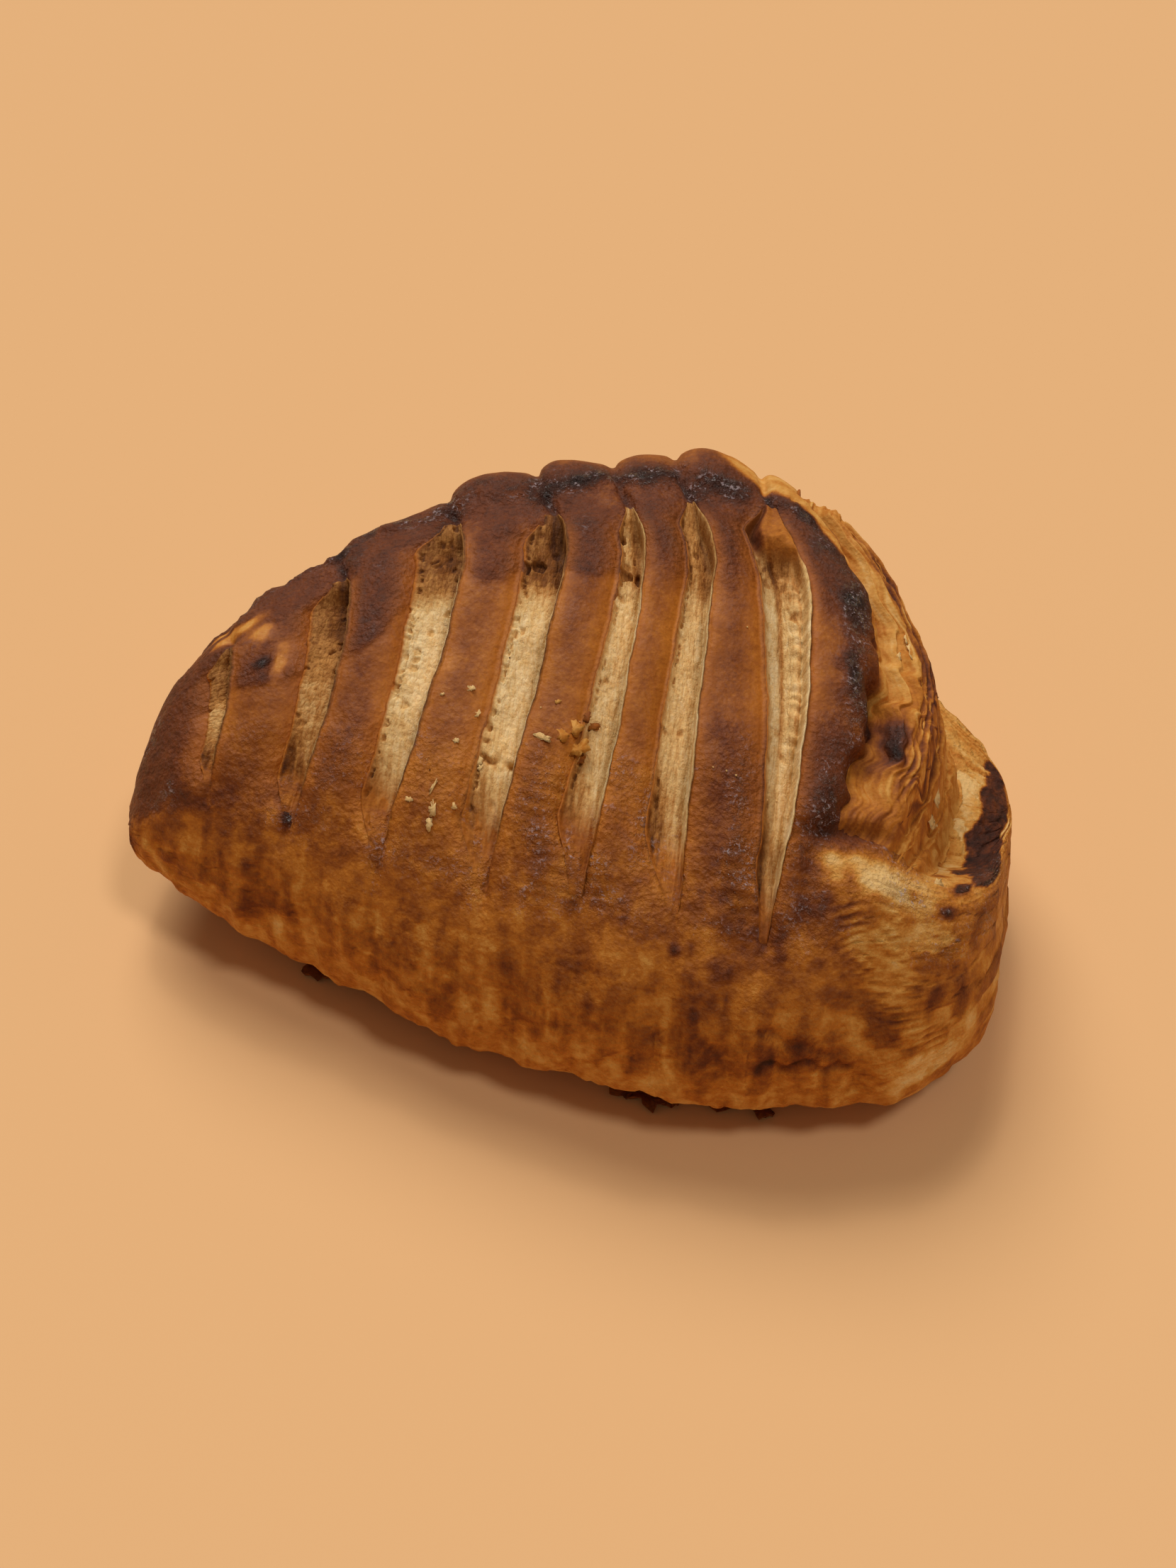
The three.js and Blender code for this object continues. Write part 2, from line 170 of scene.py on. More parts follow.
def loop_curve(values, t):
    """A closed Catmull-Rom curve through values, at the places t."""
    n = len(values)
    first = np.floor(t).astype(int)
    f = t - first
    a, b, c, d = (values[(first + k) % n] for k in (-1, 0, 1, 2))
    if values.ndim > 1:
        f = f[..., None]
    return 0.5 * (2 * b + (c - a) * f + (2 * a - 5 * b + 4 * c - d) * f**2
                  + (3 * b - a - 3 * c + d) * f**3)


def there_and_back(items):
    return [*items, *items[1:LAST][::-1]]


OUTLINE = np.array([s["near"] for s in SECTIONS] + [s["far"] for s in SECTIONS[1:LAST]][::-1], float)
COLUMNS = {name: np.array(there_and_back([s[name] for s in SECTIONS]), float) for name in CURVES}
PLACES = np.linspace(0, LAST, 1601)
MIDDLES = loop_curve(COLUMNS["middle"], PLACES)


def along(name, t):
    return loop_curve(COLUMNS[name], t)


def place_of(x):
    return np.interp(x, MIDDLES, PLACES)


# ---- The plain parcel ----


def across_at(t, share):
    near = loop_curve(OUTLINE, t)
    far = loop_curve(OUTLINE, -t)
    mid = (near + far) / 2
    mid[..., 0] = along("middle", t)
    s = share[..., None]
    return near * (1 - s) * (1 - 2 * s) + mid * 4 * s * (1 - s) + far * s * (2 * s - 1)


def width_and_gutter(t):
    """Width of a section, and the share across where its pressed edge begins."""
    wide = np.maximum(np.linalg.norm(loop_curve(OUTLINE, t) - loop_curve(OUTLINE, -t), axis=-1), 1e-6)
    return wide, 1 - np.minimum(along("flange", t) / wide, 0.2)


def profile(t, turn):
    """Share across and height, going round a section: near rim, crest, gutter, pressed edge, under
    the far side, flat underside, and up to the near rim."""
    wide, gutter_at = width_and_gutter(t)
    crest, crest_at, near_rim, far_rim, gutter = (
        along(name, t) for name in ("crest", "crest_at", "near_rim", "far_rim", "gutter"))
    lift = np.maximum(along("lift", t), 0)
    tuck = np.minimum(TUCK / wide, 0.45)
    arc = np.clip(np.floor(turn).astype(int), 0, 5)
    f = turn - arc
    c = np.abs(np.cos(f * math.pi / 2))
    w = np.abs(np.sin(f * math.pi / 2))
    share = np.choose(arc, [
        crest_at * (1 - c ** (2 / NEAR_CURVE[0])),
        crest_at + (gutter_at - crest_at) * w ** (2 / FAR_CURVE[0]),
        gutter_at + (1 - gutter_at) * w,
        1 - tuck * (1 - c),
        1 - tuck - (1 - 2 * tuck) * f,
        tuck * (1 - w),
    ])
    height = np.choose(arc, [
        near_rim + (crest - near_rim) * w ** (2 / NEAR_CURVE[1]),
        gutter + (crest - gutter) * c ** (2 / FAR_CURVE[1]),
        gutter + (far_rim - gutter) * (1 - c) + 1.5 * np.sin(math.pi * f),
        far_rim - (far_rim - lift) * w,
        lift,
        lift + (near_rim - lift) * (1 - c),
    ])
    return share, height


def plain_point(t, turn):
    share, height = profile(t, turn)
    place = across_at(t, share)
    return np.concatenate([place, height[..., None]], axis=-1)


def outward(t, turn):
    step = SMALL_STEP
    place = np.clip(t, TIP_ROOM, LAST - TIP_ROOM)
    turn = np.clip(turn, step, 6 - step)
    onward = plain_point(place + step, turn) - plain_point(place - step, turn)
    upward = plain_point(place, turn + step) - plain_point(place, turn - step)
    return unit(np.cross(onward, upward))


# ---- Cuts, bands and the right end ----


def lip_wobble(share, i, side):
    """Small waves along a lip, in mm: a baked edge is never straight."""
    start = 1.7 * i + 0.9 * side
    return (0.09 * np.sin(share * 41 + start) + 0.06 * np.sin(share * 97 + 2.3 * start)
            + 0.03 * np.sin(share * 251 + 4.1 * start))


def lips(share):
    """Left lip, right lip and openness of every cut at this share of the way across."""
    held = np.clip(share, 0.08, 0.66)
    a, b, c = EDGE_SHARES
    made = []
    for i, cut in enumerate(CUTS):
        right = (cut["edge"][0] * (held - b) * (held - c) / ((a - b) * (a - c))
                 + cut["edge"][1] * (held - a) * (held - c) / ((b - a) * (b - c))
                 + cut["edge"][2] * (held - a) * (held - b) / ((c - a) * (c - b)))
        right = right + cut["drift"] * ramp(0.58, 0.84, share)
        opened = ramp(cut["start"], cut["start"] + 0.1, share) * ramp(cut["end"], cut["end"] - 0.07, share)
        wide = mix(*cut["wide"], np.clip((held - 0.2) / 0.35, 0, 1))
        left = right - wide * (0.3 + 0.7 * opened)
        made.append((left + lip_wobble(share, i, 1), right + lip_wobble(share, i, 0), opened))
    return made


def last_band_edge(share):
    held = np.clip(share, 0.2, 0.8)
    low = 7.2 * (np.maximum(0.58 - held, 0) / 0.36) ** 2
    high = 8.6 * (np.maximum(held - 0.58, 0) / 0.19) ** 2
    ragged = 0.5 * np.sin(held * 52) + 0.35 * np.sin(held * 87 + 1) + 0.2 * np.sin(held * 151 + 2)
    return 46.3 - low - high + ragged


def sheet_edge(share):
    held = np.clip(share, 0.1, 0.88)
    low = 4.2 * (np.maximum(0.57 - held, 0) / 0.22) ** 1.3
    high = 14 * (np.maximum(held - 0.57, 0) / 0.24) ** 2
    return 55.6 - low - high


def lobe_top(x):
    out = np.clip((x - LOBE["start"]) / LOBE["long"], 0, 1)
    return LOBE["low"] + (LOBE["high"] - LOBE["low"]) * (1 - out**2)


def drop_share(x, share, turn):
    past = x - sheet_edge(share)
    steps = sum(fall * ramp(start, start + wide, past) for start, wide, fall in LAYERS)
    return steps * ramp(0.14, 0.38, share) * (turn <= 2.6)


def band_relief(x, share, cuts, i):
    """Relief of band i, how close each point is to the band's lips, and where the band is."""
    start = cuts[i - 1][1] if i else np.full(x.shape, -70.0)
    end = cuts[i][0] if i < len(CUTS) else last_band_edge(share)
    before = cuts[i - 1][2] if i else 0
    after = cuts[i][2] if i < len(CUTS) else 0
    deep = CUTS[i]["deep"] if i < len(CUTS) else 0
    p = (x - start) / np.maximum(end - start, 0.5)
    inside = (p >= 0) & (p <= 1)
    p = np.clip(p, 0, 1)
    rise = (EDGE_RISE * before * (1 - p) ** 2 - LIP_FALL * deep * after * p**2
            + CROWN * np.sin(math.pi * p) * (0.4 + 0.6 * np.maximum(before, after))
            - 0.45 * before * bell(x - start, 0.5) - 0.6 * after * bell(x - end, 0.9))
    margin = np.maximum(before * bell(x - start, LEFT_MARGIN), after * bell(x - end, RIGHT_MARGIN))
    return rise, margin, p, inside


def cut_relief(x, share, cut, sizes):
    """Depth of one cut, the place across it, and the crease that runs on past its ends."""
    left, right, opened = cut
    deep, step, start, end = (sizes[name] for name in ("deep", "step", "start", "end"))
    q = (x - left) / np.maximum(right - left, 0.5)
    left_wall = LIP_FALL + (step - LIP_FALL) * ramp(0, FLOOR_START, q)
    slope = (1 - step) * np.clip((q - FLOOR_START) / (FLOOR_END - FLOOR_START), 0, 1)
    right_wall = (1 + EDGE_RISE / deep) * ramp(FLOOR_END, 1, q)
    depth = (right_wall - left_wall - slope) * deep * opened
    strength = (1.0 * bell(share - (end + 0.01), 0.03) + 0.5 * ramp(end, end + 0.04, share)
                * ramp(0.93, 0.86, share) + 0.6 * bell(share - (start + 0.01), 0.035))
    crease = strength * bell(x - (right - 0.5), 0.8) * (1 - opened)
    return depth, q, crease


def bands_and_cuts(x, share, cuts):
    """Relief of the bands and cuts, and masks for them."""
    relief = np.zeros(x.shape)
    masks = {name: np.zeros(x.shape) for name in ("cut", "crease", "margin", "band")}
    for i in range(len(CUTS) + 1):
        rise, margin, p, inside = band_relief(x, share, cuts, i)
        relief = np.where(inside, rise, relief)
        masks["margin"] = np.where(inside, margin, masks["margin"])
        masks["band"] = np.where(inside, p, masks["band"])
    for cut, sizes in zip(cuts, CUTS):
        depth, q, crease = cut_relief(x, share, cut, sizes)
        room = DOUGH_DEPTH * cut[2] * ramp(0.0, 0.1, q) * ramp(1.0, 0.92, q)
        relief = np.where((q > 0) & (q < 1) & (depth != 0), depth - room, relief)
        masks["crease"] += crease
        pale = ramp(-0.10, 0.16, q) * ramp(1.06, 1.0, q)
        lower_end = ramp(sizes["start"], sizes["start"] + 0.12, share)
        masks["cut"] = np.maximum(masks["cut"], pale * cut[2] * lower_end)
    return relief - masks["crease"], masks


def crest_bumps(x, share, cuts):
    edges = [np.full(np.shape(x), FIRST_BUMP), *(cut[1] for cut in cuts), last_band_edge(share)]
    total = 0
    for i, high in enumerate(BUMPS):
        p = np.clip((x - edges[i]) / np.maximum(edges[i + 1] - edges[i], 0.5), 0, 1)
        total = total + high * np.sin(math.pi * p**0.6) ** 1.2 * bell(share - CREST_LINE, 0.05)
    return total


def end_relief(x, share):
    band, edge = last_band_edge(share), sheet_edge(share)
    reach = ramp(0.22, 0.34, share) * ramp(0.88, 0.78, share)
    floor = ramp(band - 0.6, band + 0.9, x) * ramp(edge + 1, edge - 2, x)
    valley = VALLEY["deep"] * (floor + bell(x - (band + VALLEY["past"]), VALLEY["wide"]))
    ridge = RIDGE["high"] * bell(x - (edge - RIDGE["inside"]), RIDGE["wide"])
    hole = HOLE["deep"] * spot(x, share, HOLE["x"], HOLE["share"], HOLE["wide"], HOLE["long"])
    crease_share = CREASE["share"] + CREASE["slant"] * (x - CREASE["x"][1])
    x0, x1, x2, x3 = CREASE["x"]
    crease = CREASE["deep"] * bell(share - crease_share, CREASE["wide"]) * ramp(x0, x1, x) * ramp(x3, x2, x)
    swollen = SWOLLEN_FOLD
    fold = swollen["high"] * spot(x, share, swollen["x"], swollen["share"], swollen["long"], swollen["wide"])
    return (ridge - valley) * reach - hole - crease + fold


def swell(p):
    x, y, z = np.moveaxis(p, -1, 0)
    return (0.5 * np.sin(0.17 * x + 0.08 * y + 0.7) * np.sin(0.15 * y - 0.11 * z + 1.1)
            + 0.3 * np.sin(0.21 * x - 0.12 * y + 0.1 * z) * np.sin(0.2 * y + 0.17 * z + 0.4))


# ---- Fine relief and browning ----

LEAF_THICKNESS = 1.1
LEFT_MARGIN, RIGHT_MARGIN = 1.5, 2.4  # reach of the amber rim along a band's lips
FAR_AWAY = 99.0
SKIN_DOUGH = 0.75  # how brown the skin is where it shows beside a cut's crumb
# How far parts of the crust have browned, from 0 (pale gold) to 1 (burnt).
MIDDLE_BROWN, RIM_BROWN, NEAR_SIDE_BROWN, UNDERSIDE_BROWN = 0.47, 0.29, 0.42, 0.55
LEFT_END_BROWN, RIGHT_END_BROWN, DARKEST_LEFT = 0.60, 0.36, 0.70


def saw(x):
    """Rises slowly and falls fast, from 0 to 1: one leaf lying on the next."""
    f = x - np.floor(x)
    return ramp(0, 0.8, f) * ramp(1.0, 0.8, f)


def plates(flat, size, seed):
    """Irregular flakes side by side: nearness to a flake's border, from 0 at the border to about 1,
    each flake's own tone from 0 to 1, and the place across it."""
    cells = 64
    rng = np.random.default_rng(seed)
    centres = rng.uniform(0.1, 0.9, (cells, cells, 2))
    tones = rng.uniform(0, 1, (cells, cells))
    place = flat[..., :2] / np.asarray(size, float)
    low = np.floor(place).astype(int)
    nearest, second = np.full(place.shape[:-1], 9.0), np.full(place.shape[:-1], 9.0)
    tone, across = np.zeros(nearest.shape), np.zeros(nearest.shape)
    for step in np.ndindex(3, 3):
        cell = low + np.array(step) - 1
        i, j = np.moveaxis(cell % cells, -1, 0)
        away = place - cell - centres[i, j]
        distance = np.hypot(away[..., 0], away[..., 1])
        nearer = distance < nearest
        second = np.where(nearer, nearest, np.minimum(second, distance))
        tone = np.where(nearer, tones[i, j], tone)
        across = np.where(nearer, away[..., 0], across)
        nearest = np.minimum(nearest, distance)
    return np.clip(2 * (second - nearest), 0, 1), tone, across


def shoulder(x, band):
    """The line, as a share across, above which the top has browned more."""
    return 0.565 - 0.16 * ramp(-18, -36, x) - 0.02 * np.sin(math.pi * band)


def across_path(x, run, path):
    """How far each point lies to the side of a path over the skin, in mm. The path's points are
    given as x and place round the section."""
    path_x, path_turn = np.array(path, float).T
    path_run = run_of(path_turn)
    nearest = np.full(x.shape, FAR_AWAY)
    for k in range(len(path) - 1):
        step_x, step_run = path_x[k + 1] - path_x[k], path_run[k + 1] - path_run[k]
        off_x, off_run = x - path_x[k], run - path_run[k]
        reached = np.clip((off_x * step_x + off_run * step_run) / (step_x**2 + step_run**2), 0, 1)
        away = np.hypot(off_x - reached * step_x, off_run - reached * step_run)
        side = np.sign(off_x * step_run - off_run * step_x)
        nearest = np.where(away < np.abs(nearest), away * side, nearest)
    return nearest


# Curved bundles of pale fibres near the right end: x and place round the section, and half width.
FIBRE_PATHS = (
    (((43.0, 0.38), (44.5, 0.32), (46.6, 0.27), (49.6, 0.20), (53.8, 0.13), (58.7, 0.02)), 1.9),
    (((48.4, 0.37), (49.0, 0.32), (50.3, 0.27), (52.4, 0.22)), 1.6),
)
# Cracks low on the near side: from x and share to x and share, depth and width as a share.
CRACKS = (
    (32.3, 0.025, 44.0, 0.008, 0.5, 0.0030),
    (33.0, 0.0035, 41.0, 0.006, 0.7, 0.0016),
    (41.0, 0.0055, 47.0, 0.001, 0.7, 0.0016),
)
# Glaze that shines in small specks, also painted into the colour as highlights: x, share, reach in x and in
# share, strength.
GLINTS = (
    (-7.2, 0.76, 1.4, 0.03, 1.0), (0.6, 0.765, 4.0, 0.014, 1.0), (9.4, 0.76, 3.2, 0.014, 1.0),
    (17.6, 0.74, 2.0, 0.02, 0.9), (-21.4, 0.71, 1.4, 0.03, 0.9), (43.0, 0.56, 2.0, 0.07, 1.0),
    (42.6, 0.40, 1.8, 0.07, 1.0), (24.0, 0.765, 3.6, 0.012, 0.9), (39.6, 0.28, 1.6, 0.06, 0.9),
    (28.4, 0.18, 1.3, 0.05, 1.0), (27.6, 0.26, 1.2, 0.06, 0.8), (14.4, 0.20, 1.2, 0.05, 0.8),
    (6.4, 0.13, 1.0, 0.03, 0.8), (-22.8, 0.09, 1.4, 0.03, 0.9), (-8.9, 0.10, 1.4, 0.03, 0.9),
    (-37.8, 0.12, 1.0, 0.02, 0.8), (33.2, 0.218, 1.5, 0.03, 0.8), (-66.0, 0.55, 2.5, 0.12, 0.8),
)
# Browning that is added: x, share, reach in x and in share, and how dark.
SCORCHES = (
    (-21.4, 0.70, 1.5, 0.03, 0.22), (-7.2, 0.75, 1.6, 0.03, 0.28), (0.2, 0.765, 3.6, 0.014, 0.22),
    (9.2, 0.76, 3.0, 0.014, 0.22), (17.6, 0.74, 1.8, 0.02, 0.24), (23.0, 0.762, 3.4, 0.014, 0.18),
    (30.0, 0.755, 3.0, 0.015, 0.15), (-38.0, 0.75, 1.6, 0.012, 0.2), (42.6, 0.585, 2.4, 0.05, 0.22),
    (42.2, 0.47, 2.6, 0.05, 0.24), (26.8, 0.006, 3.4, 0.006, 0.18),
    (40.6, 0.25, 2.4, 0.035, 0.14), (38.0, 0.70, 3.0, 0.03, 0.08), (45.4, 0.42, 1.4, 0.02, 0.3),
    (55.4, 0.26, 1.1, 0.012, 0.4), (58.2, 0.20, 1.2, 0.015, 0.3), (56.0, 0.155, 1.4, 0.012, 0.3),
    (-67.0, 0.30, 4.0, 0.25, 0.12), (-62.5, 0.62, 3.0, 0.08, 0.08), (-46.4, 0.455, 1.6, 0.016, 0.30),
    (-38.2, 0.112, 0.9, 0.022, 0.4), (25.5, 0.018, 4.2, 0.016, 0.16), (26.4, 0.048, 3.6, 0.020, 0.14),
    (20.8, 0.072, 0.8, 0.010, 0.25), (35.2, 0.088, 0.8, 0.014, 0.3), (34.8, 0.004, 2.6, 0.004, 0.15),
    (48.0, 0.022, 3.2, 0.010, 0.12), (31.0, 0.10, 4.0, 0.03, 0.10), (51.5, 0.065, 5.0, 0.03, 0.10),
    (53.8, 0.050, 2.2, 0.014, 0.20), (39.4, 0.145, 2.2, 0.020, 0.14), (37.6, 0.185, 1.6, 0.012, 0.12),
)
# The line, in x and in share, above which the paler leaf behind the crest shows.
GOLDEN_LEAF = ((18, 24.4, 28.9, 36.5, 41), (0.84, 0.798, 0.778, 0.745, 0.70))
# Burnt patches with a sharp edge, on the lobe: x, share, reach in x and in share.
BURNS = (
    (69.6, 0.80, 2.0, 0.10), (68.8, 0.66, 2.8, 0.12), (66.8, 0.52, 3.2, 0.10), (65.0, 0.40, 3.8, 0.08),
    (63.4, 0.30, 3.8, 0.06), (63.4, 0.22, 2.8, 0.035), (58.3, 0.30, 1.0, 0.02), (58.4, 0.21, 1.2, 0.014),
)
# Browning that replaces what is there: x, share, reach in x and in share, level.
PALE_PATCHES = (
    (46.5, 0.180, 5.6, 0.024, 0.06), (42.4, 0.196, 2.6, 0.012, 0.10), (51.5, 0.190, 2.2, 0.025, 0.14),
    (-54.0, 0.655, 1.9, 0.022, 0.32), (-50.8, 0.635, 2.2, 0.026, 0.26), (-47.6, 0.555, 1.7, 0.036, 0.30),
    (-43.8, 0.46, 1.2, 0.06, 0.32), (-66.5, 0.74, 1.6, 0.05, 0.25),
    (55.0, 0.002, 4.5, 0.0035, 0.12), (59.0, 0.010, 2.4, 0.010, 0.14), (30.2, 0.017, 0.9, 0.003, 0.22),
    (50.2, 0.08, 2.4, 0.025, 0.32), (47.0, 0.11, 3.0, 0.012, 0.32), (-56.5, 0.72, 2.6, 0.018, 0.14),
)


def on_top(turn):
    return ramp(0.10, 0.3, turn) * ramp(2.0, 1.7, turn)


def on_underside(turn):
    return ramp(3.5, 3.9, turn) * ramp(5.5, 5.1, turn)


def detail(p, x, share, turn, run, masks):
    """Fine relief in mm, with the masks that the crust's colours follow."""
    flat = sheet(x, run)
    top, under = on_top(turn), on_underside(turn)
    past = x - sheet_edge(share)
    past_band = x - last_band_edge(share)
    in_cut = masks["cut"]

    # Leaves of pastry round the pressed far edge and on the wall below the sheet.
    far_edge = ramp(1.85, 2.1, turn + 0.14 * field(p, 7, 25)) * ramp(3.75, 3.4, turn)
    at_ends = np.maximum(ramp(65, 69.6, x), ramp(-66, -69.6, x))
    far_edge = far_edge * (1 - at_ends)
    end_wall = ramp(4.0, 5.6, past) * ramp(0.16, 0.3, share) * ramp(10, 7, past) * (turn < 2.6)
    wavy = p[..., 2] + 1.2 * field(p, 13, 21) + 0.35 * field(p, 3.5, 22)
    leaves = saw(wavy / LEAF_THICKNESS)
    layered = 0.5 * leaves * far_edge

    # The right end: a swirl and strands of leaves on the near corner, the torn valley and the lobe.
    corner = ramp(42, 49, x) * ramp(0.16, 0.11, share) * ramp(5.6, 6.0, turn + 6 * (turn < 2))
    corner = corner * ramp(62, 55, x)
    bent = np.hypot(x - 57, 1.1 * (run - 33)) + 3.0 * field(p, 9, 23) + 1.2 * field(p, 3.5, 29)
    swirl = saw(bent / 1.2 + 0.4 * field(p, 1.6, 34)) * corner * ramp(-0.7, 0.2, field(p, 6, 35)) * 0.4
    strands = np.zeros(x.shape)
    for path, wide in FIBRE_PATHS:
        off = across_path(x, run, path)
        strands += bell(off, wide) * saw(off / 0.75 + 0.3 * field(p, 2.4, 24)) * (turn < 2)
    valley = ramp(-0.5, 1.5, past_band) * ramp(5.6, 4.4, past)
    valley = valley * ramp(0.2, 0.32, share) * ramp(0.92, 0.8, share) * (turn < 2)

    lobe = ramp(3.4, 5.6, past) * ramp(0.14, 0.3, share) * (turn < 2.6)
    shaken = flat + 0.8 * sheet(field(p, 4, 32), field(p, 4, 33))
    border, tone, across = plates(shaken, (3.2, 5.5), 30)
    near_wall = ramp(0.34, 0.12, turn) + ramp(5.3, 5.7, turn)
    low_corner = ramp(38, 46, x) * ramp(0.22, 0.14, share) * (turn < 1)
    scaly = np.maximum.reduce([lobe, 0.8 * low_corner, 0.6 * near_wall])
    scales = (0.35 * tone + 0.3 * across) * ramp(0, 0.3, border) * scaly
    blisters = ramp(0.35, 0.8, field(p, 2.6, 31)) * mix(0.35, 1.0, np.maximum(lobe, 1 - top))

    # The crust's own surface: grain, blisters, wrinkles on the crest and low down, folds and cracks.
    grain = 0.10 * field(p, 3.2, 41) + 0.045 * field(p, 1.5, 42) + 0.02 * field(p, 0.9, 46)
    low_top = ramp(0.34, 0.2, share) * ramp(0.06, 0.12, share) * (turn < 2)
    across_low = low_top * ramp(-0.2, 0.5, field(p, 7, 36)) * ramp(-20, 0, x)
    wrinkled = 0.16 * np.sin(run / 0.32 + 3.0 * field(flat, (4.0, 2.0, 2.0), 37)) * across_low
    crest = bell(share - 0.765, 0.03) * (turn < 2) * ramp(-66, -55, x)
    wrinkled = wrinkled + crest * (0.6 * field(p, 2.8, 38) + 0.45 * ridges(p, 1.3, 39))
    skin = (grain * mix(1.0, 2.6, low_top) + 0.3 * field(p, 9.0, 43) + wrinkled) * (1 - in_cut)
    folds = 0.3 * np.sin(0.62 * x + 1.8 * field(p, 18, 44)) + 0.25 * field(flat, (1.6, 9.0, 9.0), 47)
    folds = folds * near_wall
    crack = np.zeros(x.shape)
    for x0, share0, x1, share1, deep, wide in CRACKS:
        line = mix(share0, share1, (x - x0) / (x1 - x0)) + 0.0015 * np.sin(1.3 * x)
        reach = ramp(x0 - 1.5, x0 + 1.5, x) * ramp(x1 + 1.5, x1 - 1.5, x) * (turn < 1)
        crack += deep * bell(share - line, wide) * reach
    raise_by = (layered + 0.35 * swirl + 0.3 * strands + scales + 0.3 * blisters * (1 - in_cut)
                + skin + folds - crack - TORN_DEPTH * valley) * (1 - under) + 0.12 * field(p, 5, 45) * under

    masks.update(
        leaf=np.where(corner > 0.05, swirl, leaves), lobe=lobe, valley=valley, under=under, at_ends=at_ends,
        layered=np.maximum.reduce([far_edge, 0.6 * end_wall, corner]), near_wall=near_wall, crest=crest,
        strands=strands, mottle=(tone - 0.5 + 0.35 * ramp(0.2, 0, border)) * scaly,
    )
    # Darker in the cracks: painted shade.
    masks["toast"] = toast(p, x, share, turn, masks) + 0.3 * np.clip(crack, 0, 1)
    masks["rough"] = np.clip(low_top + near_wall + lobe + ramp(0.52, 0.68, masks["toast"]), 0, 1)
    masks["dough"] = np.full(x.shape, SKIN_DOUGH)
    masks["pits"] = masks["cool_shade"] = np.zeros(x.shape)
    glazed = (1 - in_cut) * top * (1 - masks["layered"]) * (1 - lobe)
    masks["gloss"] = np.clip(glazed * (1 - masks["golden"]), 0, 1)
    masks["amber"] = masks["margin"] * (1 - in_cut) * ramp(0.78, 0.6, share)
    glint = sum(strength * spot(x, share, *place) * top for *place, strength in GLINTS)
    specked = 0.5 * low_top * ramp(0.0, 0.6, field(p, 4, 48))
    specked = specked + 0.8 * crest * ramp(-0.1, 0.4, field(p, 3, 50)) + 0.6 * across_low
    masks["glint"] = np.clip(glint + specked, 0, 1) * (1 - masks["golden"])
    return raise_by


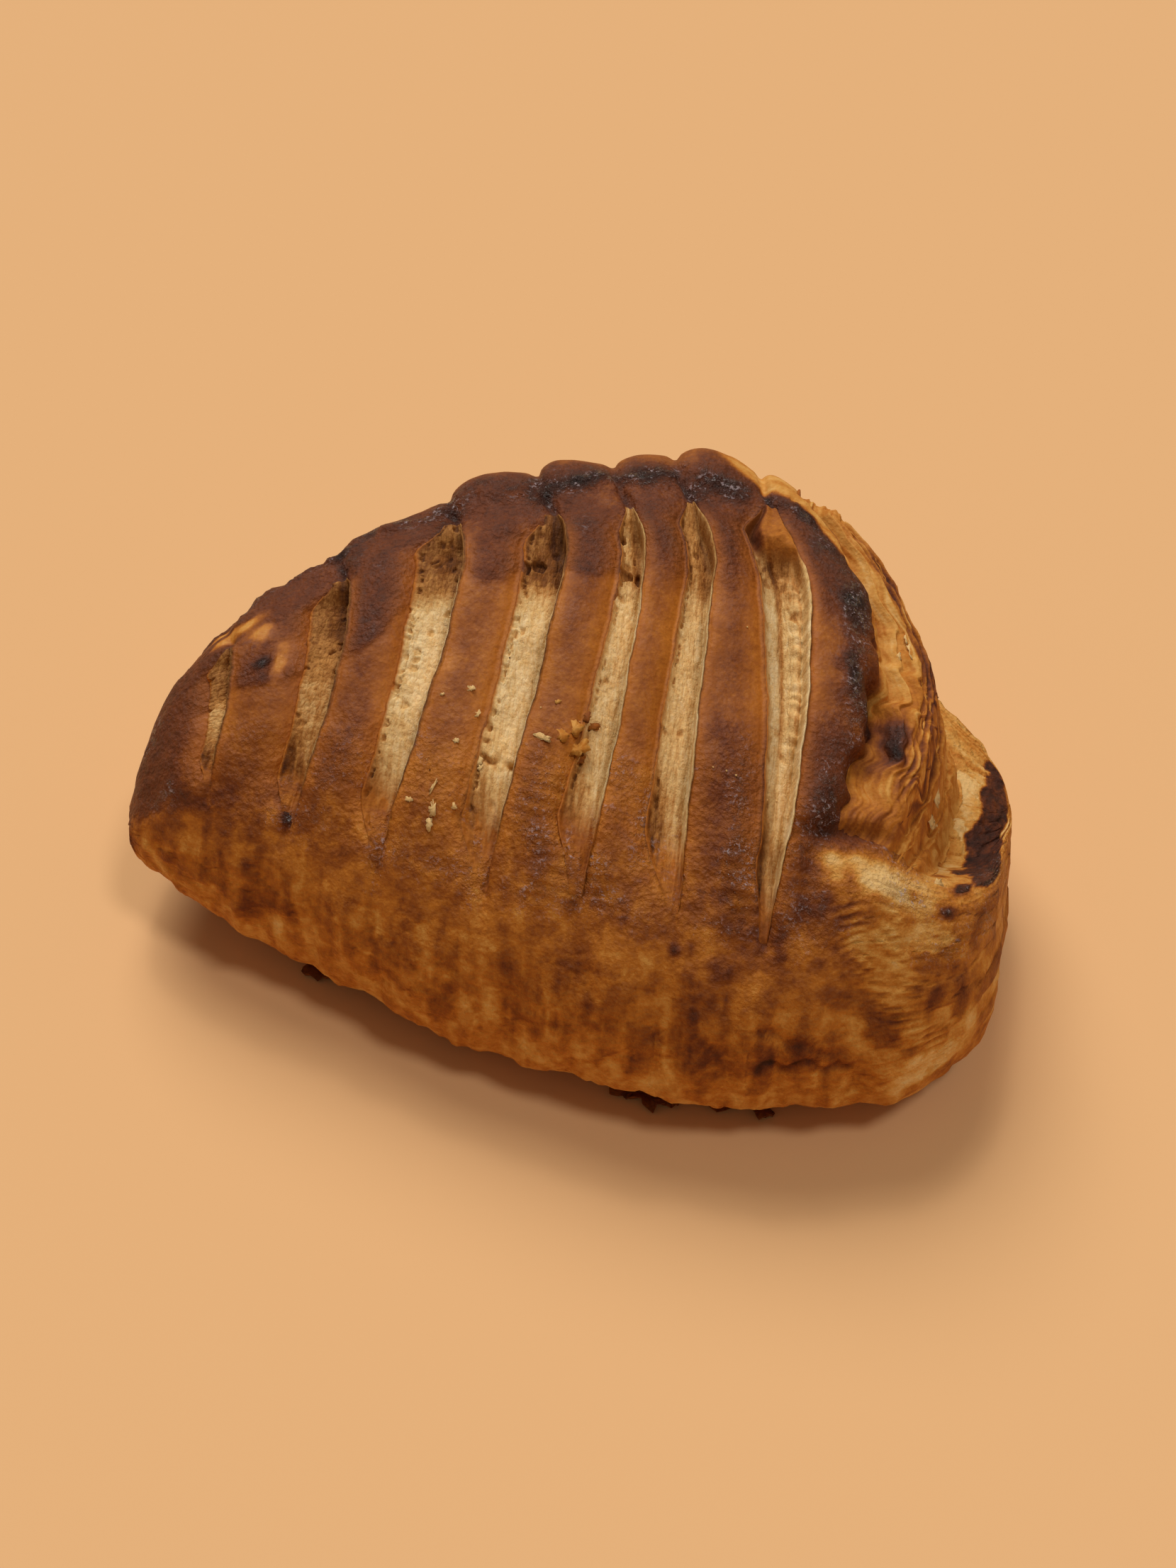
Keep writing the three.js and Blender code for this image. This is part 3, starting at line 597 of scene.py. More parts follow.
def toast(p, x, share, turn, masks):
    """How far the crust has browned, from 0 (pale gold) to 1 (burnt)."""
    top = turn < 2
    soft = 1 + 2.5 * ramp(9, 14, x)
    above = ramp(-0.015, 0.02, (share - shoulder(x, masks["band"]) + 0.01 * field(p, 4, 68)) / soft)
    flat = sheet(x, masks["run"])
    level = np.full(x.shape, MIDDLE_BROWN)
    low = top * ramp(0.26, 0.12, share)
    blotch = rough_field(p, 2.2, 58)
    veins = ridges(p, 2.8, 59) ** 3

    # The glazed top, darker towards the crest, the last band's edge and the left tip.
    level += 0.19 * above * top
    level += 0.05 * bell(share - 0.78, 0.04) * top * ramp(-66, -50, x)
    level += 0.12 * bell(share - 0.24, 0.12) * ramp(0, 30, x) * top
    level += 0.05 * ramp(16, 26, x) * top * ramp(0.62, 0.5, share)
    level += 0.06 * bell(x - (last_band_edge(share) - 2.0), 3.0) * ramp(0.2, 0.35, share) * top
    level += 0.17 * ramp(-46, -60, x) * (1 - 0.5 * masks["near_wall"])
    level += 0.07 * ramp(-20, -40, x) * ramp(0.3, 0.12, share) * top
    level += 0.06 * bell(x + 41, 8) * ramp(0.2, 0.3, share) * ramp(0.5, 0.4, share) * top
    level -= 0.07 * masks["margin"]

    # The near side, the far slope, and the right end's corner and lobe.
    level = mix(level, NEAR_SIDE_BROWN, ramp(0.13, 0.04, share) * (turn < 1))
    level = mix(level, RIM_BROWN, ramp(0.10, 0.0, turn) + ramp(5.25, 5.7, turn))
    streaks = 0.12 * field(flat, (1.3, 9.0, 9.0), 55) + 0.07 * field(flat, (0.6, 4.0, 4.0), 56)
    level += streaks * masks["near_wall"]
    level += 0.16 * ramp(46, 52, x) * ramp(0.16, 0.08, share) * (turn < 1)
    far_slope = ramp(1.35, 1.9, turn) * ramp(3.9, 3.3, turn)
    level = mix(level, 0.34 + 0.07 * rough_field(p, 6, 75) + 0.04 * rough_field(p, 2.2, 76), far_slope)
    level = mix(level, 0.40, ramp(42, 52, x) * ramp(0.3, 0.2, share) * (turn < 1))
    level = mix(level, 0.20 + 0.08 * rough_field(p, 2.6, 64), masks["lobe"])
    level += mix(0.26, 0.42, ramp(48, 54, x)) * masks["mottle"]
    ragged = np.clip(1 + 0.8 * field(p, 2.6, 53) + 0.5 * field(p, 1.2, 54), 0, 2)
    for *place, brown in PALE_PATCHES:
        level = mix(level, brown, np.clip(spot(x, share, *place) * top * ragged * 1.2, 0, 1))

    # The two ends, the underside, and unevenness everywhere.
    walls = np.maximum(ramp(0.7, 0.3, turn), ramp(1.9, 2.2, turn)) * masks["at_ends"]
    end_level = np.where(x > 0, RIGHT_END_BROWN, LEFT_END_BROWN)
    level = mix(level, end_level + 0.10 * rough_field(p, 4.0, 69), walls)
    level = mix(level, UNDERSIDE_BROWN, masks["under"])
    level = mix(level, 0.10, 0.8 * masks["strands"])
    level += (0.10 * blotch - 0.10 * veins) * np.maximum(low, 0.8 * masks["near_wall"])
    level += 0.14 * masks["crest"] * ramp(0.0, 0.4, field(p, 3.6, 61))
    level -= 0.14 * ramp(0.79, 0.83, share) * top * ramp(-66, -55, x)
    level += 0.05 * rough_field(p, 14, 51) + 0.04 * rough_field(p, 3.5, 52)
    level += 0.04 * rough_field(flat, (2.2, 14, 14), 57) + 0.02 * np.sin(math.pi * masks["band"]) * top
    # Darker in the creases past the cuts' ends: painted shade.
    level += 0.14 * np.clip(masks["crease"], 0, 1)

    # The paler leaf behind the crest, scorched spots and the burnt patches of the lobe.
    line = np.interp(x, GOLDEN_LEAF[0], GOLDEN_LEAF[1]) + 0.006 * field(p, 3.0, 65)
    golden = ramp(-0.004, 0.012, share - line) * ramp(0.95, 0.86, share) * ramp(19, 23, x) * top
    masks["golden"] = golden
    golden_level = 0.24 + 0.12 * field(flat, (9.0, 1.2, 1.2), 66) + 0.05 * rough_field(p, 2.0, 67)
    level = mix(level, golden_level, golden)
    for *place, dark in SCORCHES:
        level += dark * ragged * spot(x, share, *place) * top
    burn = sum(spot(x, share, *place) for place in BURNS)
    burnt = ramp(0.40, 0.55, burn * mix(1, ragged, 0.6)) * top
    level = mix(level, 0.80 + 0.12 * field(p, 1.1, 62) + 0.10 * field(p, 0.5, 63), burnt)
    level = mix(level, np.minimum(level, DARKEST_LEFT), ramp(-50, -56, x))
    level = mix(level, end_level, ramp(69.0, 69.8, np.abs(x)))
    return np.clip(level, 0, 1)


# ---- The skin's grid ----

TIP_STEPS, CUT_STEPS, BAND_STEPS, VALLEY_STEPS, END_STEPS = 34, 6, 20, 12, 44
TURN_STEPS = (196, 76, 26, 26, 10, 30)  # steps round the six arcs of a section
LIP_CROWDING = 0.06  # how much stations crowd at a cut's lips
WIDEST_PLACE = 4.6  # the section that the steps are measured on
SETTLING_ROUNDS = 5  # rounds in which the rings settle on the lips


def stations():
    """Every station as the stretch between two lips that it lies in, and its share of it."""
    stretch, shares = [], []

    def add(index, values):
        stretch.extend([index] * len(values))
        shares.extend(values)

    def even(n):
        return np.arange(n) / n

    add(0, (np.arange(TIP_STEPS) + 0.35) / TIP_STEPS)
    for i in range(len(CUTS)):
        f = even(CUT_STEPS)
        add(2 * i + 1, f - LIP_CROWDING * np.sin(2 * math.pi * f))
        add(2 * i + 2, even(BAND_STEPS))
    add(2 * len(CUTS) + 1, even(VALLEY_STEPS))
    f = (np.arange(END_STEPS) + 0.02) / END_STEPS
    add(2 * len(CUTS) + 2, 1 - (1 - f) ** 1.15)
    return np.array(stretch), np.array(shares)


def turns():
    """Places round a section, evenly spaced within each arc, and the length run from the near rim."""
    dense = np.linspace(0, FULL_TURN, 6001)
    points = plain_point(np.full(dense.shape, WIDEST_PLACE), dense)
    run = np.concatenate([[0], np.cumsum(np.linalg.norm(np.diff(points, axis=0), axis=1))])
    made = []
    for arc, n in enumerate(TURN_STEPS):
        ends = np.interp([arc, arc + 1], dense, run)
        made.append(np.interp(np.linspace(*ends, n, endpoint=False), run, dense))
    turn = np.concatenate(made)
    return turn, np.interp(turn, dense, run)


def run_of(turn):
    all_turns, all_runs = turns()
    return np.interp(turn, all_turns, all_runs)


def marks(share):
    cuts = lips(share)
    lines = [line for left, right, _ in cuts for line in (left, right)]
    return [*lines, last_band_edge(share), sheet_edge(share)]


def grid_places():
    stretch, f = stations()
    turn, run = turns()
    turn = np.broadcast_to(turn, (len(f), len(turn)))
    run = np.broadcast_to(run, turn.shape)
    t = np.broadcast_to(np.linspace(TIP_ROOM, LAST - TIP_ROOM, len(f))[:, None], turn.shape)
    rows, columns = np.indices(turn.shape)
    for _ in range(SETTLING_ROUNDS):
        share, _height = profile(t, turn)
        lines = [place_of(line) for line in marks(share)]
        lines = np.array([np.zeros(turn.shape), *lines, np.full(turn.shape, float(LAST))])
        start = lines[stretch[:, None], rows, columns]
        end = lines[stretch[:, None] + 1, rows, columns]
        t = start + (end - start) * f[:, None]
    return t, turn, run


def off_tips(t):
    return ramp(0, 0.5, t) * ramp(LAST, LAST - 0.4, t)


def dropped_point(t, turn):
    """Point of the plain parcel with the right end's fall to the lobe, its x and its share."""
    share, _height = profile(t, turn)
    p = plain_point(t, turn)
    x = along("middle", t)
    p[..., 2] -= drop_share(x, share, turn) * np.maximum(p[..., 2] - lobe_top(x), 0)
    return p, x, share


def turn_of(t, share):
    """The place round the section, on top, where a share of the way across is reached."""
    _wide, gutter_at = width_and_gutter(t)
    crest_at = along("crest_at", t)
    near = np.arccos(np.clip(1 - share / crest_at, 0, 1) ** (NEAR_CURVE[0] / 2))
    far = np.arcsin(np.clip((share - crest_at) / (gutter_at - crest_at), 0, 1) ** (FAR_CURVE[0] / 2))
    return np.where(share < crest_at, near, math.pi / 2 + far) * 2 / math.pi


def skin_points(t, turn, run):
    p, x, share = dropped_point(t, turn)
    cuts = lips(share)
    top = on_top(turn)
    relief, masks = bands_and_cuts(x, share, cuts)
    relief = relief + crest_bumps(x, share, cuts) + end_relief(x, share)
    for name in ("cut", "crease", "margin"):
        masks[name] = masks[name] * top
    masks["x"], masks["run"] = x, run
    fine = detail(p, x, share, turn, run, masks)
    raise_by = (relief * top + swell(p) * (1 - on_underside(turn)) + fine) * off_tips(t)
    points = p + outward(t, turn) * raise_by[..., None]
    return points, masks


# ---- Meshes ----


def frame_shift():
    """Where the cuts' own origin lies in the part's frame, in mm: the solid's box is centred there."""
    t = np.linspace(0, LAST, 161)[:, None]
    turn = np.linspace(0, FULL_TURN, 241)[None, :]
    t, turn = np.broadcast_arrays(t, turn)
    points = plain_point(t, turn) @ TURN.T
    return -(points.min(axis=(0, 1)) + points.max(axis=(0, 1)))[:2] / 2


# What a point of the crust tells its material, painted light among it: shade painted into pits, cracks,
# creases and the crumb's walls, and highlights painted where the glaze shines.
SHADE_NAMES = (
    "cut", "pits", "layered", "leaf", "dough", "toast", "gloss", "cool_shade", "amber", "glint", "rough",
    "x", "run",
)
TURN = np.array([
    [math.cos(FOLD_TURN), -math.sin(FOLD_TURN), 0],
    [math.sin(FOLD_TURN), math.cos(FOLD_TURN), 0],
    [0, 0, 1],
])
SHIFT = np.array([*frame_shift(), 0.0])


def put(name, data):
    """A new object in the scene."""
    thing = bpy.data.objects.new(name, data)
    bpy.context.scene.collection.objects.link(thing)
    return thing


def make_mesh(name, points, faces, material):
    """A smooth mesh piece from points in mm in the frame of the cuts."""
    mesh = bpy.data.meshes.new(name)
    mesh.from_pydata(((points @ TURN.T + SHIFT) * METRES).tolist(), [], faces)
    mesh.update()
    mesh.polygons.foreach_set("use_smooth", [True] * len(mesh.polygons))
    mesh.materials.append(material)
    return put(name, mesh)


def add_attribute(mesh, name, values):
    layer = mesh.attributes.new(name, "FLOAT", "POINT")
    layer.data.foreach_set("value", np.ascontiguousarray(values, dtype=np.float32).ravel())


def closed_loft_faces(rings, n):
    """Quads between rings of n points, with a fan to the first and the last point."""
    ring, k = np.indices((rings - 1, n))
    ahead = (k + 1) % n
    here, there = 1 + ring * n, 1 + (ring + 1) * n
    quads = np.stack([here + k, there + k, there + ahead, here + ahead], axis=-1).reshape(-1, 4).tolist()
    end = 1 + rings * n
    fans = [[0, 1 + j, 1 + (j + 1) % n] for j in range(n)]
    fans += [[end, end - n + (j + 1) % n, end - n + j] for j in range(n)]
    return quads + fans


def make_skin(material):
    t, turn, run = grid_places()
    points, masks = skin_points(t, turn, run)
    rings, n = t.shape
    first, last = SECTIONS[0], SECTIONS[LAST]
    tips = [np.array([*s["near"], (s["crest"] + s["lift"]) / 2], float) for s in (first, last)]
    points = np.vstack([tips[0], points.reshape(-1, 3), tips[1]])
    points[:, 2] = np.maximum(points[:, 2], 0.0)
    skin = make_mesh("crust_skin", points, closed_loft_faces(rings, n), material)
    for name in SHADE_NAMES:
        values = masks[name].ravel()
        add_attribute(skin.data, name, np.concatenate([values[:1], values, values[-1:]]))
    return skin


# ---- Patches with finer relief: the crumb in the cuts and the torn leaves at the right end ----


def patch_faces(rows, columns, below):
    """A closed sheet: rows by columns points on top, and below them rows by the picked columns."""
    row, column = np.indices((rows - 1, columns - 1))
    a = row * columns + column
    faces = np.stack([a, a + 1, a + 1 + columns, a + columns], axis=-1).reshape(-1, 4).tolist()
    base = rows * columns

    def under(k):
        return [k * columns, *range(base + k * below, base + (k + 1) * below), (k + 1) * columns - 1]

    for k in range(rows - 1):
        here, ahead = under(k), under(k + 1)
        faces += [[ahead[j], ahead[j + 1], here[j + 1], here[j]] for j in range(below + 1)]
    faces.append([*reversed(range(columns)), *under(0)[1:-1]])
    faces.append([*range(base - columns, base), *reversed(under(rows - 1)[1:-1])])
    return faces


def make_patch(name, points, normals, picks, shades, material):
    """A sheet with a thickness, its rim at the sheet's own border. picks are the columns kept below."""
    rows, columns = points.shape[:2]
    lower = points[:, picks] - PATCH_THICKNESS * normals[:, picks]
    everything = np.concatenate([points.reshape(-1, 3), lower.reshape(-1, 3)])
    piece = make_mesh(name, everything, patch_faces(rows, columns, len(picks)), material)
    for shade in SHADE_NAMES:
        values = shades.get(shade, np.zeros((rows, columns)))
        add_attribute(piece.data, shade, np.concatenate([values.ravel(), values[:, picks].ravel()]))
    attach(piece, "root")
    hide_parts(NODE)
    return piece


# How much browner the crumb of each cut is all along, and near its top.
CRUMB_BROWN = (0.28, 0.32, 0.04, 0.04, 0.10, 0.13, 0.05)
CRUMB_TOP_BROWN = (0.14, 0.12, 0.40, 0.44, 0.08, 0.16, 0.33)
CRUMB_LOW = (0.03, 0.05, 0.06, 0.05, 0.05, 0.03, 0.0)  # where its pale part ends, above the cut's own end
LAST_CUT = len(CUTS) - 1
SPLIT_CUT = 3  # the cut whose crumb has split across
FIRST_ROW_CUT = 2  # the first cut with a row of small pits beside its left lip
SPLIT_SHARE = 0.254
DOUGH_ROWS, DOUGH_COLUMNS = 330, 44
DOUGH_PICKS = (7, 12, 18, 24, 30, 36, 39)
PATCH_THICKNESS = 1.1


def patch_places(t, share):
    """Place round the section, run, plain point, x and share of a patch's points."""
    turn = turn_of(t, share)
    return (turn, run_of(turn), *dropped_point(t, turn))


def lifted(t, turn, p, raise_by):
    """A patch's points raised off the plain parcel, and the directions outward."""
    normals = outward(t, turn)
    return p + normals * (raise_by * off_tips(t))[..., None], normals


def crumb_relief(flat, q, share, i):
    """Knobs, pits and fibres of one cut, and how dark its pits are: shade painted into pits, hollows and
    crevices.
    """
    fibrous = mix(0.35, 1.0, ramp(0.40, 0.24, share))
    coarse = ramp(0.42, 0.58, share)
    wall = ramp(0.74, 0.86, q)
    border, tone, _across = plates(flat, (1.05, 1.7), 110 + i)
    wide_border, wide_tone, _across = plates(flat + 3.1, (2.1, 2.6), 130 + i)
    knobs = (0.12 * ramp(0, 0.8, border) + 0.14 * field(flat, (0.9, 1.9, 1), 12)
             + 0.05 * field(flat, (0.4, 0.8, 1), 10) + 0.3 * field(flat, (2.2, 4.5, 1), 14))
    pits = ramp(0.90, 0.95, tone) * ramp(0.2, 0.7, border) * (1 - 0.6 * fibrous)
    hollows = ramp(0.90, 0.94, wide_tone) * ramp(0.1, 0.6, wide_border) * coarse
    row_border, row_tone, _across = plates(flat + 7.7, (0.7, 1.3), 150 + i)
    row = (i >= FIRST_ROW_CUT) * ramp(0.5, 0.6, row_tone) * ramp(0.1, 0.5, row_border) * bell(q - 0.13, 0.05)
    fibres = (0.20 * ridges(flat, (0.9, 9.0, 9.0), 13) + 0.13 * field(flat, (0.4, 5.0, 5.0), 16)) * fibrous
    lines = 0.03 * np.sin(2 * math.pi * q * 9 + 0.8 * field(flat, 5.0, 17)) * wall
    relief = (knobs * (1 - 0.6 * fibrous) * (1 - 0.65 * wall) + fibres + lines
              - (0.55 * pits + 0.9 * hollows) * (1 - wall) - 0.45 * row)
    # Painted shade: darker in the pits, the hollows, the row of pits and the crevices between knobs.
    dark = (0.6 * pits + 0.6 * hollows) * (1 - wall) + 0.6 * row + 0.15 * ramp(0.25, 0, border)
    return relief, np.clip(dark, 0, 1)


def bulge_relief(flat, q, share):
    """The last cut's right half has puffed up, with wrinkles across it."""
    held = ramp(0.26, 0.4, share) * ramp(0.74, 0.62, share)
    uneven = 0.85 + 0.2 * field(flat, (4.0, 5.0, 5.0), 172)
    bulge = bell(q - 0.80, 0.28) * held * uneven * ramp(1.02, 0.95, q)
    wrinkles = 0.22 * np.sin(2 * math.pi * flat[..., 1] / 2.6 + 4.0 * field(flat, 4.0, 171)) * bulge
    groove = bell(q - 0.42, 0.05) * held
    return 3.2 * bulge + wrinkles - 0.6 * groove, bulge, groove


def make_crumb(i, material):
    """The open crumb of one cut, tucked in under both lips."""
    sizes = CUTS[i]
    first, last = sizes["start"], sizes["end"]
    share = np.linspace(first - 0.01, last + 0.005, DOUGH_ROWS)[:, None]
    q = np.linspace(-0.05, 1.04, DOUGH_COLUMNS)[None, :]
    share, q = np.broadcast_arrays(share, q)
    left, right, _opened = lips(share)[i]
    t = place_of(left + (right - left) * q)
    turn, run, p, x, share = patch_places(t, share)
    cuts = lips(share)
    left, right, opened = cuts[i]
    depth, _q, crease = cut_relief(mix(left, right, np.clip(q, 0, 1)), share, cuts[i], sizes)
    flat = sheet(x, run)
    fine, dark = crumb_relief(flat, q, share, i)

    near_top = ramp(last - 0.22, last - 0.12, share)
    low_end = ramp(first + 0.17, first + 0.01, share)
    above = ramp(-0.012, 0.02, share - shoulder(x, 0.5))
    streak = field(flat, (0.45, 8.0, 8.0), 22)
    dough = 0.05 + CRUMB_BROWN[i] + 0.14 * above + CRUMB_TOP_BROWN[i] * near_top + 0.30 * low_end
    # Darker beside the left lip, where the crumb runs in under the band: painted shade.
    dough = dough + 0.10 * bell(q - 0.02, 0.06) + 0.08 * field(flat, (1.4, 5.0, 5.0), 19)
    dough = dough + ramp(0.36, 0.16, share) * (0.42 * ramp(0.75, 0.05, q) + 0.16 * streak)
    # Painted cool shade on the right part, where the crumb rises as a wall to the right lip.
    cool_shade = 0.75 * ramp(0.5, 0.85, q) * ramp(0.12, 0.3, share) + 0.3 * field(flat, (3.0, 6.0, 6.0), 20)
    filled = 0  # where the last cut has grown shut near its top
    if i == LAST_CUT:
        bulging, bulge, groove = bulge_relief(flat, q, share)
        fine = mix(fine, 0.45 * fine + bulging, ramp(0.2, 0.3, share))
        filled = ramp(0.625, 0.675, share + 0.03 * (q - 0.5))
        depth = mix(depth, 0.5, filled * ramp(0.15, 0.4, q))
        # The groove between the left wall and the bulge is darker: painted shade.
        dough = dough - 0.15 * above + 0.16 * bulge + 0.35 * groove + 0.10 * field(flat, (1.5, 3.0, 3.0), 23)
        # In this cut the painted cool shade lies on the left half, the cut's wall.
        cool_shade = 0.9 * ramp(0.45, 0.35, q) + 0.2 * ramp(0.3, 0.2, share)
    if i == SPLIT_CUT:
        gap = bell(share - SPLIT_SHARE - 0.002 * np.sin(14 * q), 0.0045)
        gap = gap * np.maximum(bell(q - 0.3, 0.16), bell(q - 0.78, 0.13))
        # The split's gap is darker: painted shade.
        fine, dark = fine - 0.9 * gap, np.clip(dark + 0.8 * gap, 0, 1)
    # Near the top the crumb sinks into a cavity, which is darkened too: painted shade.
    cavity = near_top * bell(q - 0.66, 0.18) * ramp(-0.6, 0.3, field(flat, (2.0, 6.0, 6.0), 18 + i))
    fine = fine - 0.5 * cavity

    inside = ramp(-0.05, 0.02, q) * ramp(1.04, 0.985, q)
    ends = ramp(first - 0.008, first + 0.012, share) * ramp(last + 0.004, last - 0.008, share)
    sink = 0.8 * (1 - inside * ends)
    # A thin line along the right lip, raised a little and painted lighter and free of the cool shade: a
    # painted highlight.
    lip_highlight = bell(q - 0.965, 0.02)
    raise_by = (depth + crest_bumps(x, share, cuts) + swell(p) - 0.6 * crease
                + fine * (0.3 + 0.7 * opened) + 0.06 * lip_highlight - sink)
    points, normals = lifted(t, turn, p, raise_by)

    pale_from = first + CRUMB_LOW[i]
    open_part = ramp(pale_from - 0.01, pale_from + 0.10, share + 0.02 * streak) * ramp(-0.03, 0.13, q)
    # The crumb's crust colour darkens in the crease, and pits carries the shade painted into the pits, the
    # split and the cavity.
    shades = dict(
        cut=open_part * (1 - filled),
        toast=0.46 + 0.1 * field(flat, 3.0, 52) + 0.1 * crease + filled * (0.34 * ramp(0.45, 0.2, q) - 0.06),
        amber=ramp(0.3, 0.0, q) * ramp(0.1, 0.25, share),
        pits=np.clip(dark + 0.55 * cavity, 0, 1),
        dough=np.clip(dough - 0.15 * lip_highlight, 0, 1),
        cool_shade=np.clip(cool_shade * (1 - lip_highlight), 0, 1),
        gloss=0.4 * low_end,
        glint=0.8 * low_end * ramp(-0.2, 0.5, field(flat, (1.5, 4.0, 4.0), 49)),
        x=x, run=run,
    )
    return make_patch(f"cut_crumb_{i + 1}", points, normals, DOUGH_PICKS, shades, material)


TORN_ROWS, TORN_COLUMNS = 330, 120
TORN_PICKS = tuple(range(5, 118, 6))
TORN_SHARES = (0.21, 0.88)
TORN_REACH = (-0.5, 6.2)  # from the band's edge to past the sheet's edge, in mm


def make_torn_end(material):
    """The torn leaves between the last band and the lobe."""
    share = np.linspace(*TORN_SHARES, TORN_ROWS)[:, None]
    u = np.linspace(0, 1, TORN_COLUMNS)[None, :]
    share, u = np.broadcast_arrays(share, u)
    start, end = last_band_edge(share) + TORN_REACH[0], sheet_edge(share) + TORN_REACH[1]
    t = place_of(mix(start, end, u))
    turn, run, p, x, share = patch_places(t, share)
    past, past_band = x - sheet_edge(share), x - last_band_edge(share)
    flow = sheet(past_band, run)
    tone = 0.5 + 0.5 * field(flow, (2.5, 12.0, 12.0), 203)
    small_tone = 0.5 + 0.5 * field(flow, (0.9, 5.0, 5.0), 204)
    ledge_place = past_band / 2.8 + 0.8 * field(flow, (8.0, 16.0, 16.0), 201)
    ledges = saw(ledge_place + 0.2 * field(flow, (2.0, 5.0, 5.0), 202))
    low = ramp(0.44, 0.34, share)
    edge = ramp(-2.6, -1.0, past) * ramp(0.26, 0.36, share)
    flaps = (0.75 * ledges + 0.5 * tone - 0.4) * (1 - 0.75 * low) * (1 - edge)
    scraps = 0.3 * small_tone * (0.3 + 0.7 * edge)
    fibres = 0.14 * ridges(flow, (0.7, 9.0, 9.0), 205) + 0.08 * field(flow, (0.4, 3.0, 3.0), 206)
    layer_place = past / 0.8 + 0.9 * field(flow, (3.0, 9.0, 9.0), 207)
    layers = saw(layer_place + 0.35 * field(flow, (0.8, 5.0, 5.0), 208))
    ridge = bell(past_band - 4.4, 1.7) * bell(share - 0.40, 0.07)
    torn = 0.5 * rough_field(flow, (0.9, 4.5, 4.5), 212)
    fine = flaps + scraps * (1 - edge) + 1.3 * fibres + (0.22 * layers + 0.8 * torn) * edge + 0.9 * ridge
    hole = spot(x, share, 45.6, 0.425, 1.5, 0.028)
    fine -= 3.4 * hole + 1.1 * ramp(1.8, 0.2, past_band) * ramp(0.6, 0.45, share)

    streaks = field(flow, (0.5, 7.0, 7.0), 213) + 0.6 * field(flow, (0.25, 3.0, 3.0), 214)
    level = 0.15 + 0.18 * tone - 0.06 * ledges + 0.06 * small_tone + 0.11 * streaks
    level = mix(level, 0.17 + 0.12 * field(flow, (1.1, 8.0, 8.0), 209) + 0.10 * streaks, low)
    level = mix(level, 0.70 + 0.10 * field(flow, 2.0, 210) + 0.12 * streaks, np.clip(1.1 * ridge, 0, 1))
    level += 0.22 * bell(past_band, 1.6) + 0.14 * ramp(0.0, 0.6, field(flow, (2.5, 5.0, 5.0), 211))
    level = mix(level, 0.50 + 0.14 * streaks, ramp(0.325, 0.27, share))
    dark_edge = edge * ramp(2.2, 0.8, past + 0.8 * streaks) * ramp(0.84, 0.74, share)
    level = mix(level, 0.32 + 0.14 * small_tone + 0.14 * streaks - 0.10 * layers, ramp(0.2, 1.4, past))
    level = mix(level, 0.68 - 0.34 * layers * small_tone + 0.20 * streaks, dark_edge)
    level = mix(level, 0.20 + 0.1 * small_tone, ramp(3.2, 5.2, past))
    # Darker in the hole: painted shade.
    level = level + 0.55 * hole

    first, last = TORN_SHARES
    ends = ramp(first, first + 0.05, share) * ramp(last, last - 0.05, share)
    inside = ramp(0, 0.04, u) * ramp(1, 0.95, u) * ends
    raise_by = (end_relief(x, share) + crest_bumps(x, share, lips(share)) + swell(p)
                + fine * inside - (1 - inside))
    points, normals = lifted(t, turn, p, raise_by)
    shades = dict(toast=np.clip(level, 0, 1), leaf=layers, layered=dark_edge, x=x, run=run,
                  gloss=np.clip(ridge, 0, 1))
    return make_patch("torn_end", points, normals, TORN_PICKS, shades, material)


# ---- Loose leaves, flakes and crumbs ----


def on_skin(x, share):
    """Points of the skin, its outward directions and the direction along the cuts at places on top."""
    x, share = np.broadcast_arrays(np.asarray(x, float), np.asarray(share, float))
    t = place_of(x)
    turn = turn_of(t, share)
    points, masks = skin_points(t, turn, run_of(turn))
    normals = outward(t, turn)
    points = points + normals * (DOUGH_DEPTH * masks["cut"] + TORN_DEPTH * masks["valley"])[..., None]
    onward = unit(plain_point(t, turn + SMALL_STEP) - plain_point(t, turn))
    return points, normals, onward


FLAKE_POINTS = 22  # points round a flake's rim
STRIP_STEPS = 4  # points across a thin leaf
CRUMB_SIDES = 6


